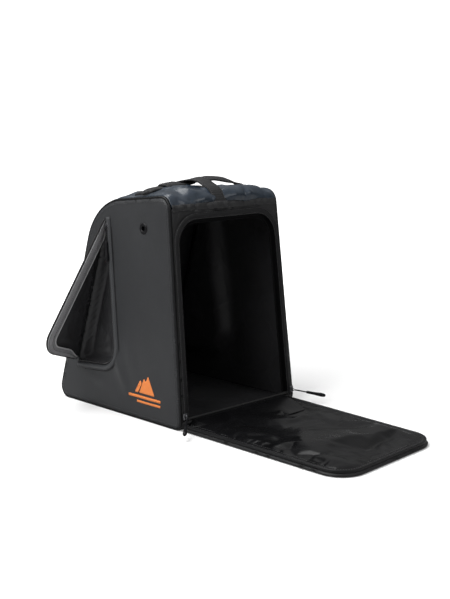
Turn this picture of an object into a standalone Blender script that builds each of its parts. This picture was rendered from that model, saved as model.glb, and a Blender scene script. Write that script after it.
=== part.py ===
"""Ski boot bag with a fold-down front door, two side pockets and a four-legged carry handle.

Metres, +Z up, front of the bag towards -Y. The base underside is centred on the origin.
The front door is modelled open, lying on the floor, and the left pocket flap folded out.
"""

import math

import bmesh
import bpy
from mathutils import Matrix, Vector

# --- overall shape ---
HALF_WIDTH = 0.146
SIDE_LEAN = 0.030
DEPTH = 0.356
FRONT_LEAN = 0.100
TOP_CORNER_HEIGHT = 0.408
TOP_FALL = 0.100
BACK_LEAN = 0.282
CORNER_RADII = (0.014, 0.024, 0.108, 0.022)
ARC_STEPS = 8

# --- fabric and gaps ---
SKIN = 0.004
GAP = 0.0003
PIPING_RADIUS = 0.0020
PIPING_INSET = 0.0021
SIDE_INSET = 0.0044
WRAP_INSET = 0.0046

# --- front opening and door ---
OPENING_HALF_WIDTH = 0.1335
OPENING_TAPER = 0.0219
OPENING_TOP = 0.3705
OPENING_RADIUS = 0.050
LEG_FOOT = 0.0168
SILL_TOP = 0.0220
HINGE_HEIGHT = 0.0112
DOOR_UNDERSIDE = 0.0008
DOOR_SHELL = 0.0032
DOOR_PAD = 0.0042
DOOR_LENGTH = 0.3600
DOOR_RADIUS = 0.046
DOOR_EDGE_GAP = 0.0007

# --- side pockets, in a side panel's plane: (y, height) ---
POCKET_APEX = (0.033, 0.363)
POCKET_FRONT = (0.003, 0.088)
POCKET_BACK = (0.118, 0.080)
POCKET_RADII = (0.004, 0.035, 0.008)
POCKET_DEPTH = 0.022
POCKET_WALL = 0.0014
FLAP_GAP = 0.0008
FLAP_BAND_DEPTH = 0.0090
FLAP_BAND_STARTS = 0.034
FLAP_BAND_STOPS = 0.012
LEFT_FLAP_OPEN = math.radians(80.0)

# --- vents ---
VENT = (-0.072, 0.346)
VENT_BORE = 0.0045
VENT_BARREL = 0.0059
VENT_HOLE = 0.0062
VENT_FLANGE = 0.0100

# --- zips ---
ZIP_THICKNESS = 0.0012
SLIDER_WIDTH = 0.008
SLIDER_LENGTH = 0.011
SLIDER_HEIGHT = 0.0032
BRIDGE_RADIUS = 0.0027
BRIDGE_WIRE = 0.0008
RING_RADIUS = 0.0030
RING_WIRE = 0.0006
PULL_LENGTH = 0.060

# --- handle ---
STRAP_THICKNESS = 0.0020
CROSS_Y = -0.052
CROSS_WIDTH = 0.025
CROSS_HALF_LENGTH = 0.127
CROSS_LIFT = 0.0200
CROSS_TILT = 0.100
LONG_X = -0.015
LONG_WIDTH = 0.030
LONG_LIFT = 0.0290
GRIP_ENDS = (-0.074, -0.004)
GRIP_HALF_WIDTH = 0.0156
GRIP_HALF_HEIGHT = 0.0046
ANCHOR_X = 0.1200
ANCHOR_HALF_LENGTH = 0.0064
ANCHOR_HALF_WIDTH = 0.0118

LEFT, RIGHT = -1, 1
SIDE_NAMES = {LEFT: "left", RIGHT: "right"}


# ---------------------------------------------------------------- flat geometry

def back_top_corner():
    """Where the sloping top meets the sloping back, in the side view."""
    front_y = -DEPTH / 2 + FRONT_LEAN * TOP_CORNER_HEIGHT
    back_y = DEPTH / 2
    y = (back_y - BACK_LEAN * (TOP_CORNER_HEIGHT + TOP_FALL * front_y)) / (1 - BACK_LEAN * TOP_FALL)
    return y, TOP_CORNER_HEIGHT - TOP_FALL * (y - front_y)


def side_corners():
    """The side view's four corners: front foot, front top, back top, back foot."""
    return [
        Vector((-DEPTH / 2, 0.0)),
        Vector((-DEPTH / 2 + FRONT_LEAN * TOP_CORNER_HEIGHT, TOP_CORNER_HEIGHT)),
        Vector(back_top_corner()),
        Vector((DEPTH / 2, 0.0)),
    ]


def turn(a, b):
    return a.x * b.y - a.y * b.x


def moved_edges(corners, distance):
    """The polygon with every edge moved inwards by distance, or outwards if it is negative."""
    count = len(corners)
    area = sum(turn(corners[i], corners[(i + 1) % count]) for i in range(count))
    sign = 1.0 if area > 0 else -1.0
    moved = []
    for i in range(count):
        before = (corners[i] - corners[i - 1]).normalized()
        after = (corners[(i + 1) % count] - corners[i]).normalized()
        normal = Vector((-before.y, before.x)) * sign
        next_normal = Vector((-after.y, after.x)) * sign
        middle = (normal + next_normal).normalized()
        moved.append(corners[i] + middle * (distance / middle.dot(normal)))
    return moved


def corner_arc(before, corner, after, radius, steps=ARC_STEPS):
    """Points of the arc that rounds a corner."""
    towards = (before - corner).normalized()
    away = (after - corner).normalized()
    half = towards.angle(away) / 2
    reach = radius / math.tan(half)
    centre = corner + (towards + away).normalized() * (radius / math.sin(half))
    first = corner + towards * reach - centre
    last = corner + away * reach - centre
    sweep = math.atan2(turn(first, last), first.dot(last))
    points = []
    for i in range(steps + 1):
        angle = sweep * i / steps
        points.append(centre + Vector((
            first.x * math.cos(angle) - first.y * math.sin(angle),
            first.x * math.sin(angle) + first.y * math.cos(angle),
        )))
    return points


def rounded(corners, radii, steps=ARC_STEPS):
    """A closed outline with rounded corners."""
    points = []
    count = len(corners)
    for i in range(count):
        points += corner_arc(corners[i - 1], corners[i], corners[(i + 1) % count], radii[i], steps)
    return points


def inset_outline(corners, radii, distance, steps=ARC_STEPS):
    shrunk = [max(radius - distance, 0.0008) for radius in radii]
    return rounded(moved_edges(corners, distance), shrunk, steps)


def sideways(path, distance):
    """An open path moved to its left, as seen walking along it."""
    moved = []
    for i, point in enumerate(path):
        before = (point - path[i - 1]).normalized() if i else None
        after = (path[i + 1] - point).normalized() if i + 1 < len(path) else None
        before = before or after
        after = after or before
        middle = (before + after).normalized()
        normal = Vector((-middle.y, middle.x))
        moved.append(point + normal * (distance / middle.dot(before)))
    return moved


def band(path, near, far):
    """The closed outline of a band that runs along an open path, between two distances to its left."""
    return sideways(path, near) + sideways(path, far)[::-1]


def circle(centre, radius, steps=20):
    return [
        Vector((
            centre[0] + radius * math.cos(2 * math.pi * i / steps),
            centre[1] + radius * math.sin(2 * math.pi * i / steps),
        ))
        for i in range(steps)
    ]


def smooth(t):
    t = min(max(t, 0.0), 1.0)
    return t * t * (3 - 2 * t)


# ---------------------------------------------------------------- the wrap's path round the side view

class Wrap:
    """The side view's outline from the foot of the front edge, over the top, down the back and under the base."""

    def __init__(self):
        corners = side_corners()
        arcs = [
            corner_arc(corners[i - 1], corners[i], corners[(i + 1) % 4], CORNER_RADII[i])
            for i in range(4)
        ]
        self.points = [arcs[0][-1]] + arcs[1] + arcs[2] + arcs[3] + arcs[0]
        self.lengths = [0.0]
        for a, b in zip(self.points, self.points[1:]):
            self.lengths.append(self.lengths[-1] + (b - a).length)
        ends = [ARC_STEPS + 1, 2 * (ARC_STEPS + 1), 3 * (ARC_STEPS + 1)]
        self.front_end = self.lengths[1]
        self.top_start = self.lengths[ends[0]]
        self.top_end = self.lengths[ends[0] + 1]
        self.back_start = self.lengths[ends[1]]
        self.back_end = self.lengths[ends[1] + 1]
        self.base_start = self.lengths[ends[2]]
        self.total = self.lengths[-1]

    def at(self, length, outwards=0.0):
        """(y, z) a way along the outline, moved outwards."""
        length = length % self.total
        for i in range(1, len(self.points)):
            if length <= self.lengths[i] + 1e-9:
                break
        a, b = self.points[i - 1], self.points[i]
        share = (length - self.lengths[i - 1]) / (self.lengths[i] - self.lengths[i - 1])
        along = (b - a).normalized()
        return a.lerp(b, share) + Vector((-along.y, along.x)) * outwards

    def stations(self, start, end, spacing=0.05):
        """Lengths at which a sheet needs a row: every outline point in the range, and long edges divided."""
        marks = {start, end}
        for turn_number in (0, 1):
            for length in self.lengths:
                if start + 1e-4 < length + turn_number * self.total < end - 1e-4:
                    marks.add(length + turn_number * self.total)
        ordered = sorted(marks)
        divided = [ordered[0]]
        for a, b in zip(ordered, ordered[1:]):
            if b - a < 1e-6:
                continue
            pieces = max(1, round((b - a) / spacing))
            divided += [a + (b - a) * (k + 1) / pieces for k in range(pieces)]
        return divided


WRAP = Wrap()


def half_width(z):
    return HALF_WIDTH - SIDE_LEAN * z


def top_height(y):
    corner = side_corners()[1]
    return corner.y - TOP_FALL * (y - corner.x)


# ---------------------------------------------------------------- frames of the flat faces

def frame(origin, a, b):
    """A placement whose first two axes lie in a face; the third is a x b."""
    a = Vector(a).normalized()
    b = Vector(b).normalized()
    c = a.cross(b)
    matrix = Matrix((a, b, c)).transposed().to_4x4()
    matrix.translation = Vector(origin)
    return matrix


def side_frame(side):
    """(y, height, x): the third axis points to +X on both sides, so outwards is side * third."""
    return frame((side * HALF_WIDTH, 0, 0), (0, 1, 0), (-side * SIDE_LEAN, 0, 1))


FRONT_FRAME = frame((0, -DEPTH / 2, 0), (1, 0, 0), (0, FRONT_LEAN, 1))
HINGE_POINT = FRONT_FRAME @ Vector((0, HINGE_HEIGHT, 0))
DOOR_FRAME = frame(HINGE_POINT, (1, 0, 0), (0, -1, 0))


# ---------------------------------------------------------------- making objects

def clear_scene():
    for obj in list(bpy.data.objects):
        bpy.data.objects.remove(obj)


def material(name, colour, roughness, metallic=0.0):
    made = bpy.data.materials.new(name)
    made.use_nodes = True
    shader = made.node_tree.nodes["Principled BSDF"]
    shader.inputs["Base Color"].default_value = (*colour, 1.0)
    shader.inputs["Roughness"].default_value = roughness
    shader.inputs["Metallic"].default_value = metallic
    made.diffuse_color = (*colour, 1.0)
    return made


def finished_mesh(obj, name):
    """The object's mesh with its modifiers applied, welded and facing out."""
    depsgraph = bpy.context.evaluated_depsgraph_get()
    depsgraph.update()
    mesh = bpy.data.meshes.new_from_object(obj.evaluated_get(depsgraph))
    mesh.name = name
    shape = bmesh.new()
    shape.from_mesh(mesh)
    bmesh.ops.remove_doubles(shape, verts=shape.verts, dist=1e-6)
    bmesh.ops.recalc_face_normals(shape, faces=shape.faces)
    shape.to_mesh(mesh)
    shape.free()
    return mesh


def link(name, data, placement=None):
    obj = bpy.data.objects.new(name, data)
    PARTS.objects.link(obj)
    if placement is not None:
        obj.matrix_world = placement
    return obj


def baked(obj, look, shade_smooth=False):
    """Replaces an object by one that holds its finished mesh."""
    name = obj.name
    placement = obj.matrix_world.copy()
    mesh = finished_mesh(obj, name)
    bpy.data.objects.remove(obj)
    mesh.materials.clear()
    mesh.materials.append(look)
    if shade_smooth:
        for face in mesh.polygons:
            face.use_smooth = True
    return link(name, mesh, placement)


def plate(name, outlines, low, high, placement, look, round_edge=0.0):
    """Closed outlines in a frame's first two axes, filled and thick from low to high on the third."""
    curve = bpy.data.curves.new(name, "CURVE")
    curve.dimensions = "2D"
    curve.fill_mode = "BOTH"
    curve.extrude = (high - low) / 2 - round_edge
    if round_edge:
        curve.bevel_depth = round_edge
        curve.offset = -round_edge
        curve.bevel_resolution = 1
    for outline in outlines:
        spline = curve.splines.new("POLY")
        spline.points.add(len(outline) - 1)
        for point, place in zip(spline.points, outline):
            point.co = (place[0], place[1], 0, 1)
        spline.use_cyclic_u = True
    flat = link(name, curve, placement @ Matrix.Translation((0, 0, (low + high) / 2)))
    return baked(flat, look)


def side_plate(name, side, outlines, low, high, look, round_edge=0.0):
    """A plate on a side panel, with low and high measured outwards from the panel's outer face."""
    ends = sorted((side * low, side * high))
    return plate(name, outlines, ends[0], ends[1], side_frame(side), look, round_edge)


def tube(name, points, radius, placement, look, closed=False, resolution=2):
    """A round cord along straight runs of points."""
    curve = bpy.data.curves.new(name, "CURVE")
    curve.dimensions = "3D"
    curve.bevel_depth = radius
    curve.bevel_resolution = resolution
    curve.use_fill_caps = True
    spline = curve.splines.new("POLY")
    spline.points.add(len(points) - 1)
    for point, place in zip(spline.points, points):
        point.co = (*place, 1)
    spline.use_cyclic_u = closed
    return baked(link(name, curve, placement), look, shade_smooth=True)


def sheet(name, rows, columns, place, thickness, look, offset=-1.0):
    """A skin over rows x columns, placed by a function of (share across -1..1, row number)."""
    mesh = bpy.data.meshes.new(name)
    shape = bmesh.new()
    bmesh.ops.create_grid(shape, x_segments=columns, y_segments=rows - 1, size=0.5)
    for vertex in shape.verts:
        vertex.co = place(vertex.co.x * 2, round((vertex.co.y + 0.5) * (rows - 1)))
    shape.to_mesh(mesh)
    shape.free()
    skin = link(name, mesh)
    solid = skin.modifiers.new("thickness", "SOLIDIFY")
    solid.thickness = thickness
    solid.offset = offset
    solid.use_even_offset = True
    return baked(skin, look)


def turned(name, profile, placement, look, steps=24, closed_profile=False):
    """A profile of (radius, height) points turned about the frame's third axis."""
    mesh = bpy.data.meshes.new(name)
    shape = bmesh.new()
    corners = [shape.verts.new((radius, 0, height)) for radius, height in profile]
    pairs = list(zip(corners, corners[1:]))
    if closed_profile:
        pairs.append((corners[-1], corners[0]))
    for a, b in pairs:
        shape.edges.new((a, b))
    shape.to_mesh(mesh)
    shape.free()
    body = link(name, mesh, placement)
    screw = body.modifiers.new("turn", "SCREW")
    screw.steps = steps
    screw.render_steps = steps
    screw.use_merge_vertices = True
    screw.merge_threshold = 0.00001
    return baked(body, look, shade_smooth=True)


def rounded_box(name, size, centre, placement, look, radius):
    mesh = bpy.data.meshes.new(name)
    shape = bmesh.new()
    bmesh.ops.create_cube(shape, size=1.0)
    for vertex in shape.verts:
        vertex.co = Vector(
            (vertex.co.x * size[0], vertex.co.y * size[1], vertex.co.z * size[2])
        ) + Vector(centre)
    shape.to_mesh(mesh)
    shape.free()
    box = link(name, mesh, placement)
    bevel = box.modifiers.new("edges", "BEVEL")
    bevel.width = radius
    bevel.segments = 2
    return baked(box, look)


def combined(target, other, operation, look):
    """Boolean of two objects; the second is used up."""
    change = target.modifiers.new("combine", "BOOLEAN")
    change.object = other
    change.operation = operation
    change.solver = "EXACT"
    result = baked(target, look)
    bpy.data.objects.remove(other)
    return result


def pivot(name, placement):
    empty = bpy.data.objects.new(name, None)
    PARTS.objects.link(empty)
    empty.matrix_world = placement
    return empty


def hang(obj, parent):
    """Parents an object without moving it."""
    bpy.context.view_layer.update()
    obj.parent = parent
    obj.matrix_parent_inverse = parent.matrix_world.inverted()
    return obj


# ---------------------------------------------------------------- the bag's fixed skin

def wrap_panel(name, start, end, look, columns=6, margin=WRAP_INSET, outwards=0.0, thickness=SKIN):
    """A panel that spans the bag between its side panels and follows the wrap from start to end."""
    stations = WRAP.stations(start, end)

    def place(across, row):
        y, z = WRAP.at(stations[row], outwards)
        return Vector((across * (half_width(z) - margin), y, z))

    return sheet(name, len(stations), columns, place, thickness, look)


def opening_half_width(height):
    return OPENING_HALF_WIDTH - OPENING_TAPER * height


def opening_path(foot, margin=0.0, top=OPENING_TOP, radius=OPENING_RADIUS):
    """The arch of the front opening from its left foot, over the top, to its right foot."""
    low = opening_half_width(foot) - margin
    high = opening_half_width(top) - margin
    left_foot = Vector((-low, foot))
    left_top = Vector((-high, top))
    right_top = Vector((high, top))
    right_foot = Vector((low, foot))
    path = [left_foot]
    path += corner_arc(left_foot, left_top, right_top, radius)
    path += corner_arc(left_top, right_top, right_foot, radius)
    return path + [right_foot]


def front_frame(look):
    """The fabric arch that stands round the front opening."""
    top = WRAP.front_end + WRAP.points[0].y - GAP
    outer = []
    for height in (LEG_FOOT, top):
        outer.append(Vector((-(half_width(height) - WRAP_INSET), height)))
    for height in (top, LEG_FOOT):
        outer.append(Vector((half_width(height) - WRAP_INSET, height)))
    outline = outer + opening_path(LEG_FOOT)[::-1]
    return plate("front_frame", [outline], -SKIN, 0.0, FRONT_FRAME, look)


def front_sill(look):
    width = opening_half_width(SILL_TOP) - 0.0008
    outline = [
        Vector((-width, LEG_FOOT)),
        Vector((width, LEG_FOOT)),
        Vector((width, SILL_TOP)),
        Vector((-width, SILL_TOP)),
    ]
    return plate("front_sill", [outline], -SKIN, 0.0, FRONT_FRAME, look)


def side_panel(side, look):
    """A side panel with its pocket opening and vent hole."""
    outlines = [
        inset_outline(side_corners(), CORNER_RADII, SIDE_INSET),
        rounded(pocket_corners(), POCKET_RADII),
        circle(VENT, VENT_HOLE),
    ]
    return side_plate("side_panel_" + SIDE_NAMES[side], side, outlines, -SKIN, 0.0, look)


def piping(side, look):
    """The cord sewn round a side panel's edge."""
    path = inset_outline(side_corners(), CORNER_RADII, PIPING_INSET)
    points = [Vector((point.x, point.y, -side * PIPING_INSET)) for point in path]
    return tube(
        "piping_" + SIDE_NAMES[side], points, PIPING_RADIUS, side_frame(side), look, closed=True
    )


def base_board(look):
    size = (0.280, 0.305, 0.003)
    centre = (0, -0.012, SKIN + GAP + size[2] / 2)
    return rounded_box("base_board", size, centre, Matrix.Identity(4), look, 0.0008)


def vent_eyelet(side, look):
    """The round grommet in a side panel, with its flange outside."""
    outwards = side_frame(side) @ Matrix.Translation((VENT[0], VENT[1], 0))
    if side == LEFT:
        outwards = outwards @ Matrix.Rotation(math.pi, 4, "X")
    profile = [
        (VENT_BORE, -SKIN - 0.0016),
        (VENT_BARREL, -SKIN - 0.0016),
        (VENT_BARREL, GAP),
        (VENT_FLANGE, GAP),
        (VENT_FLANGE, GAP + 0.0008),
        (VENT_FLANGE - 0.0012, GAP + 0.0020),
        (VENT_BORE + 0.0012, GAP + 0.0020),
        (VENT_BORE, GAP + 0.0010),
    ]
    name = "vent_eyelet_" + SIDE_NAMES[side]
    return turned(name, profile, outwards, look, steps=24, closed_profile=True)


def vent_washer(side, look):
    name = "vent_washer_" + SIDE_NAMES[side]
    rings = [circle(VENT, VENT_FLANGE - 0.0005), circle(VENT, VENT_BARREL + 0.0004)]
    return side_plate(name, side, rings, -SKIN - GAP - 0.0010, -SKIN - GAP, look)


# ---------------------------------------------------------------- zips

def front_zip(look):
    """The half of the front zip that stays on the bag."""
    path = opening_path(LEG_FOOT + 0.001)
    outline = band(path, 0.0006, 0.0040)
    return plate("front_zip_fixed", [outline], GAP, GAP + ZIP_THICKNESS, FRONT_FRAME, look)


def slider_placement(surface, place, along, outwards):
    """A frame for a slider: first axis across the zip, second along it, third outwards."""
    origin = surface @ Vector(place)
    second = (surface.to_3x3() @ Vector(along)).normalized()
    third = (surface.to_3x3() @ Vector(outwards)).normalized()
    return frame(origin, second.cross(third), second)


def zip_slider(name, placement, base_height, look):
    """A slider body with a wire bridge over it."""
    body = rounded_box(
        name,
        (SLIDER_WIDTH, SLIDER_LENGTH, SLIDER_HEIGHT),
        (0, 0, base_height + SLIDER_HEIGHT / 2),
        placement,
        look,
        0.0009,
    )
    top = base_height + SLIDER_HEIGHT
    arch = [Vector((0, BRIDGE_RADIUS, top - 0.0012))]
    for i in range(9):
        angle = math.pi * i / 8
        arch.append(Vector((0, BRIDGE_RADIUS * math.cos(angle), top + BRIDGE_RADIUS * math.sin(angle))))
    arch.append(Vector((0, -BRIDGE_RADIUS, top - 0.0012)))
    bridge = tube(name + "_bridge", arch, BRIDGE_WIRE, placement, look, resolution=1)
    return combined(body, bridge, "UNION", look)


def pull_pivot(placement, base_height):
    """The point under a slider's bridge about which its pull swings."""
    return placement @ Vector((0, 0, base_height + SLIDER_HEIGHT + 0.0010))


def zip_pull(name, centre, hinge, direction, look):
    """A ring through the bridge, with a cord and a moulded grip that leave it in the given direction."""
    hinge = Vector(hinge).normalized()
    direction = Vector(direction).normalized()
    straight = (direction - hinge * direction.dot(hinge)).normalized()
    ring_centre = centre + straight * RING_RADIUS
    ring_frame = frame(ring_centre, hinge, straight)
    ring_points = [
        Vector((point.x, point.y, 0)) for point in circle((0, 0), RING_RADIUS, 14)
    ]
    ring = tube(name, ring_points, RING_WIRE, ring_frame, look, closed=True, resolution=1)
    cord_start = ring_centre + direction * (RING_RADIUS - 0.0002)
    across = direction.orthogonal().normalized()
    cord_frame = frame(cord_start, across, direction.cross(across))
    profile = [
        (0.0, 0.0),
        (0.0013, 0.0),
        (0.0013, PULL_LENGTH * 0.36),
        (0.0026, PULL_LENGTH * 0.40),
        (0.0029, PULL_LENGTH * 0.66),
        (0.0038, PULL_LENGTH * 0.84),
        (0.0036, PULL_LENGTH * 0.93),
        (0.0022, PULL_LENGTH * 0.99),
        (0.0, PULL_LENGTH),
    ]
    cord = turned(name + "_cord", profile, cord_frame, look, steps=12)
    return combined(ring, cord, "UNION", look)


# ---------------------------------------------------------------- the front door

def door_outline(inset):
    """The door's closed outline: (across, away from the hinge)."""
    low = opening_half_width(HINGE_HEIGHT) - DOOR_EDGE_GAP
    high = opening_half_width(HINGE_HEIGHT + DOOR_LENGTH) - DOOR_EDGE_GAP
    corners = [
        Vector((-low, 0.0015)),
        Vector((low, 0.0015)),
        Vector((high, DOOR_LENGTH)),
        Vector((-high, DOOR_LENGTH)),
    ]
    return inset_outline(corners, (0.004, 0.004, DOOR_RADIUS, DOOR_RADIUS), inset)


def door_edge_path(inset):
    """The door's edge from the hinge, round the free end and back to the hinge, turning left."""
    low = opening_half_width(HINGE_HEIGHT) - DOOR_EDGE_GAP - inset
    high = opening_half_width(HINGE_HEIGHT + DOOR_LENGTH) - DOOR_EDGE_GAP - inset
    start = Vector((low, 0.010))
    first = Vector((high, DOOR_LENGTH - inset))
    second = Vector((-high, DOOR_LENGTH - inset))
    end = Vector((-low, 0.010))
    path = [start]
    path += corner_arc(start, first, second, DOOR_RADIUS - inset)
    path += corner_arc(first, second, end, DOOR_RADIUS - inset)
    return path + [end]


def door_parts(fabric, lining, trim, zip_look):
    """The door lying open on the floor, all of it turning about the hinge at its near edge."""
    floor_side = HINGE_HEIGHT - DOOR_UNDERSIDE
    shell_top = floor_side - DOOR_SHELL
    pad_low = shell_top - GAP
    pad_high = pad_low - DOOR_PAD
    shell = plate("door_shell", [door_outline(0.0)], shell_top, floor_side, DOOR_FRAME, fabric, 0.0009)
    pad = plate("door_lining", [door_outline(0.0068)], pad_high, pad_low, DOOR_FRAME, lining, 0.0012)
    chain = plate(
        "door_zip",
        [band(door_edge_path(0.0008), 0.0, 0.0042)],
        pad_low - ZIP_THICKNESS,
        pad_low,
        DOOR_FRAME,
        zip_look,
    )
    rim_height = pad_low - ZIP_THICKNESS - GAP - 0.0014
    rim_points = [Vector((point.x, point.y, rim_height)) for point in door_edge_path(0.0046)]
    rim = tube("door_rim", rim_points, 0.0014, DOOR_FRAME, trim)
    hinge = pivot("door_hinge", DOOR_FRAME)
    for piece in (shell, pad, chain, rim):
        hang(piece, hinge)


# ---------------------------------------------------------------- the side pockets

def pocket_corners():
    return [Vector(POCKET_APEX), Vector(POCKET_FRONT), Vector(POCKET_BACK)]


def pocket_edge_path():
    """The pocket's zipped edge: from the apex, down the front, round and back along the bottom."""
    apex, front, back = pocket_corners()
    down = (front - apex).normalized()
    along = (back - front).normalized()
    start = apex + down * 0.010
    end = back - along * 0.012
    return [start] + corner_arc(apex, front, back, POCKET_RADII[1]) + [end]


def pocket_liner(side, look):
    """The open tray of lining that hangs behind the pocket's opening."""
    name = "pocket_liner_" + SIDE_NAMES[side]
    outside = inset_outline(pocket_corners(), POCKET_RADII, -0.0028)
    inside = inset_outline(pocket_corners(), POCKET_RADII, -0.0028 + POCKET_WALL)
    rim = -SKIN - GAP
    tray = side_plate(name, side, [outside], rim - POCKET_DEPTH, rim, look)
    hollow = side_plate(
        name + "_hollow", side, [inside], rim - POCKET_DEPTH + POCKET_WALL, rim + 0.002, look
    )
    return combined(tray, hollow, "DIFFERENCE", look)


def pocket_trim(side, fabric, zip_look):
    """The fixed zip half and the raised facing beside it."""
    path = pocket_edge_path()
    name = SIDE_NAMES[side]
    side_plate(
        "pocket_zip_" + name, side, [band(path, -0.0006, -0.0038)], GAP, GAP + ZIP_THICKNESS, zip_look
    )
    side_plate(
        "pocket_facing_" + name, side, [band(path, -0.0042, -0.0140)], GAP, GAP + 0.0018, fabric
    )


def flap_parts(side, fabric, lining, trim, zip_look):
    """The pocket's flap, closed flush in its opening, then folded out by the angle asked for."""
    name = SIDE_NAMES[side]
    corners = pocket_corners()
    path = pocket_edge_path()
    shell = side_plate(
        "flap_shell_" + name, side, [inset_outline(corners, POCKET_RADII, FLAP_GAP)], -0.0022, 0.0, fabric
    )
    inner = side_plate(
        "flap_lining_" + name,
        side,
        [inset_outline(corners, POCKET_RADII, 0.0058)],
        -0.0022 - GAP - 0.0022,
        -0.0022 - GAP,
        lining,
    )
    start, end = path[0], path[-1]
    short = [start + (path[1] - start).normalized() * FLAP_BAND_STARTS] + path[1:-1]
    short.append(end + (path[-2] - end).normalized() * FLAP_BAND_STOPS)
    wall = side_plate(
        "flap_band_" + name, side, [band(short, 0.0030, 0.0046)], -FLAP_BAND_DEPTH, -0.0022 - GAP, trim
    )
    chain = side_plate(
        "flap_zip_" + name, side, [band(path, 0.0014, 0.0044)], GAP, GAP + ZIP_THICKNESS, zip_look
    )
    surface = side_frame(side)
    apex = surface @ Vector((*POCKET_APEX, 0))
    back = surface @ Vector((*POCKET_BACK, 0))
    axis = (back - apex).normalized()
    fold = frame(apex, axis, surface.to_3x3() @ Vector((0, 0, 1)))
    hinge = pivot("flap_hinge_" + name, fold)
    for piece in (shell, inner, wall, chain):
        hang(piece, hinge)
    return hinge, axis


# ---------------------------------------------------------------- the carry handle

def cross_lift(x):
    """How far the strap across the top stands off it: higher towards the right, where it is pulled up."""
    rise = smooth((x + 0.113) / 0.020)
    fall = smooth((0.1125 - x) / 0.026)
    return (CROSS_LIFT + CROSS_TILT * x) * min(rise, fall)


def cross_strap(look):
    rows = 33

    def place(across, row):
        x = CROSS_HALF_LENGTH * (1 - 2 * row / (rows - 1))
        y = CROSS_Y + across * CROSS_WIDTH / 2
        return Vector((x, y, top_height(y) + 0.0006 + cross_lift(x)))

    return sheet("handle_strap_cross", rows, 2, place, STRAP_THICKNESS, look, offset=1.0)


def long_strap_range():
    return WRAP.front_end - 0.0090, WRAP.top_end + 0.075


def long_lift(length):
    start, end = long_strap_range()
    rise = smooth((length - start - 0.020) / 0.048)
    fall = min(max((end - 0.030 - length) / 0.0888, 0), 1)
    return LONG_LIFT * min(rise, fall)


def long_strap(look):
    """The wider strap from the front header over the top to the back of the crest."""
    start, end = long_strap_range()
    rows = 41

    def place(across, row):
        length = start + (end - start) * row / (rows - 1)
        y, z = WRAP.at(length, 0.0006 + long_lift(length))
        return Vector((LONG_X + across * LONG_WIDTH / 2, y, z))

    return sheet("handle_strap_long", rows, 2, place, STRAP_THICKNESS, look, offset=1.0)


def handle_grip(look):
    """The padded sleeve wrapped round the strap across the top."""
    length = GRIP_ENDS[1] - GRIP_ENDS[0]
    middle = (GRIP_ENDS[0] + GRIP_ENDS[1]) / 2
    centre = (middle, CROSS_Y, top_height(CROSS_Y) + 0.0006 + cross_lift(middle) + STRAP_THICKNESS / 2)
    across = (0, 1, -TOP_FALL)
    upright = (-CROSS_TILT, TOP_FALL, 1)
    placement = frame(centre, across, upright)
    outer = rounded(rectangle(GRIP_HALF_WIDTH, GRIP_HALF_HEIGHT), [0.0042] * 4, 4)
    inner = rounded(rectangle(0.0134, 0.0017), [0.0010] * 4, 2)
    return plate("handle_grip", [outer, inner], -length / 2, length / 2, placement, look, 0.0009)


def rectangle(half_a, half_b):
    return [
        Vector((-half_a, -half_b)),
        Vector((half_a, -half_b)),
        Vector((half_a, half_b)),
        Vector((-half_a, half_b)),
    ]


def anchors(look):
    """The sewn patches that hold the handle's four ends."""
    level = 0.0006 + STRAP_THICKNESS + GAP
    slope = frame((0, CROSS_Y, top_height(CROSS_Y)), (1, 0, 0), (0, 1, -TOP_FALL))
    for side in (LEFT, RIGHT):
        centre = slope @ Matrix.Translation((side * ANCHOR_X, 0, 0))
        plate(
            "handle_anchor_" + SIDE_NAMES[side],
            [rounded(rectangle(ANCHOR_HALF_LENGTH, ANCHOR_HALF_WIDTH), [0.002] * 4, 2)],
            level,
            level + 0.0012,
            centre,
            look,
        )
    start, end = long_strap_range()
    for name, first, last in (("front", start + 0.0005, start + 0.0085), ("back", end - 0.026, end - 0.001)):
        stations = WRAP.stations(first, last, 0.004)

        def place(across, row, stations=stations):
            y, z = WRAP.at(stations[row], level)
            return Vector((LONG_X + across * (LONG_WIDTH / 2 - 0.001), y, z))

        sheet("handle_anchor_" + name, len(stations), 2, place, 0.0012, look, offset=1.0)


# ---------------------------------------------------------------- assembly

def front_sliders(metal, cord):
    """Both front sliders at the feet of the opening, each with its pull lying out to the side."""
    height = 0.026
    base_height = GAP + ZIP_THICKNESS + GAP
    for side in (LEFT, RIGHT):
        name = SIDE_NAMES[side]
        across = side * (opening_half_width(height) + SLIDER_WIDTH / 2 + 0.0004)
        along = (-side * OPENING_TAPER, 1, 0)
        placement = slider_placement(FRONT_FRAME, (across, height, 0), along, (0, 0, 1))
        zip_slider("door_slider_" + name, placement, base_height, metal)
        centre = pull_pivot(placement, base_height)
        zip_pull("door_pull_" + name, centre, (1, 0, 0), (side * 0.72, -0.66, -0.20), cord)


def pocket_sliders(metal, cord):
    """Each pocket's slider near the apex, its pull hanging down along the zip."""
    apex, front, _ = pocket_corners()
    down = (front - apex).normalized()
    forwards = Vector((down.y, -down.x))
    base_height = GAP + 0.0018 + GAP
    for side in (LEFT, RIGHT):
        name = SIDE_NAMES[side]
        surface = side_frame(side)
        place = apex + down * 0.020 + forwards * (SLIDER_WIDTH / 2 + 0.0003)
        placement = slider_placement(
            surface, (place.x, place.y, 0), (down.x, down.y, 0), (0, 0, side)
        )
        zip_slider("pocket_slider_" + name, placement, base_height, metal)
        centre = pull_pivot(placement, base_height)
        across = placement.to_3x3() @ Vector((1, 0, 0))
        lean = placement.to_3x3() @ Vector((0, 1.0, 0.03))
        zip_pull("pocket_pull_" + name, centre, across, lean, cord)


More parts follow.
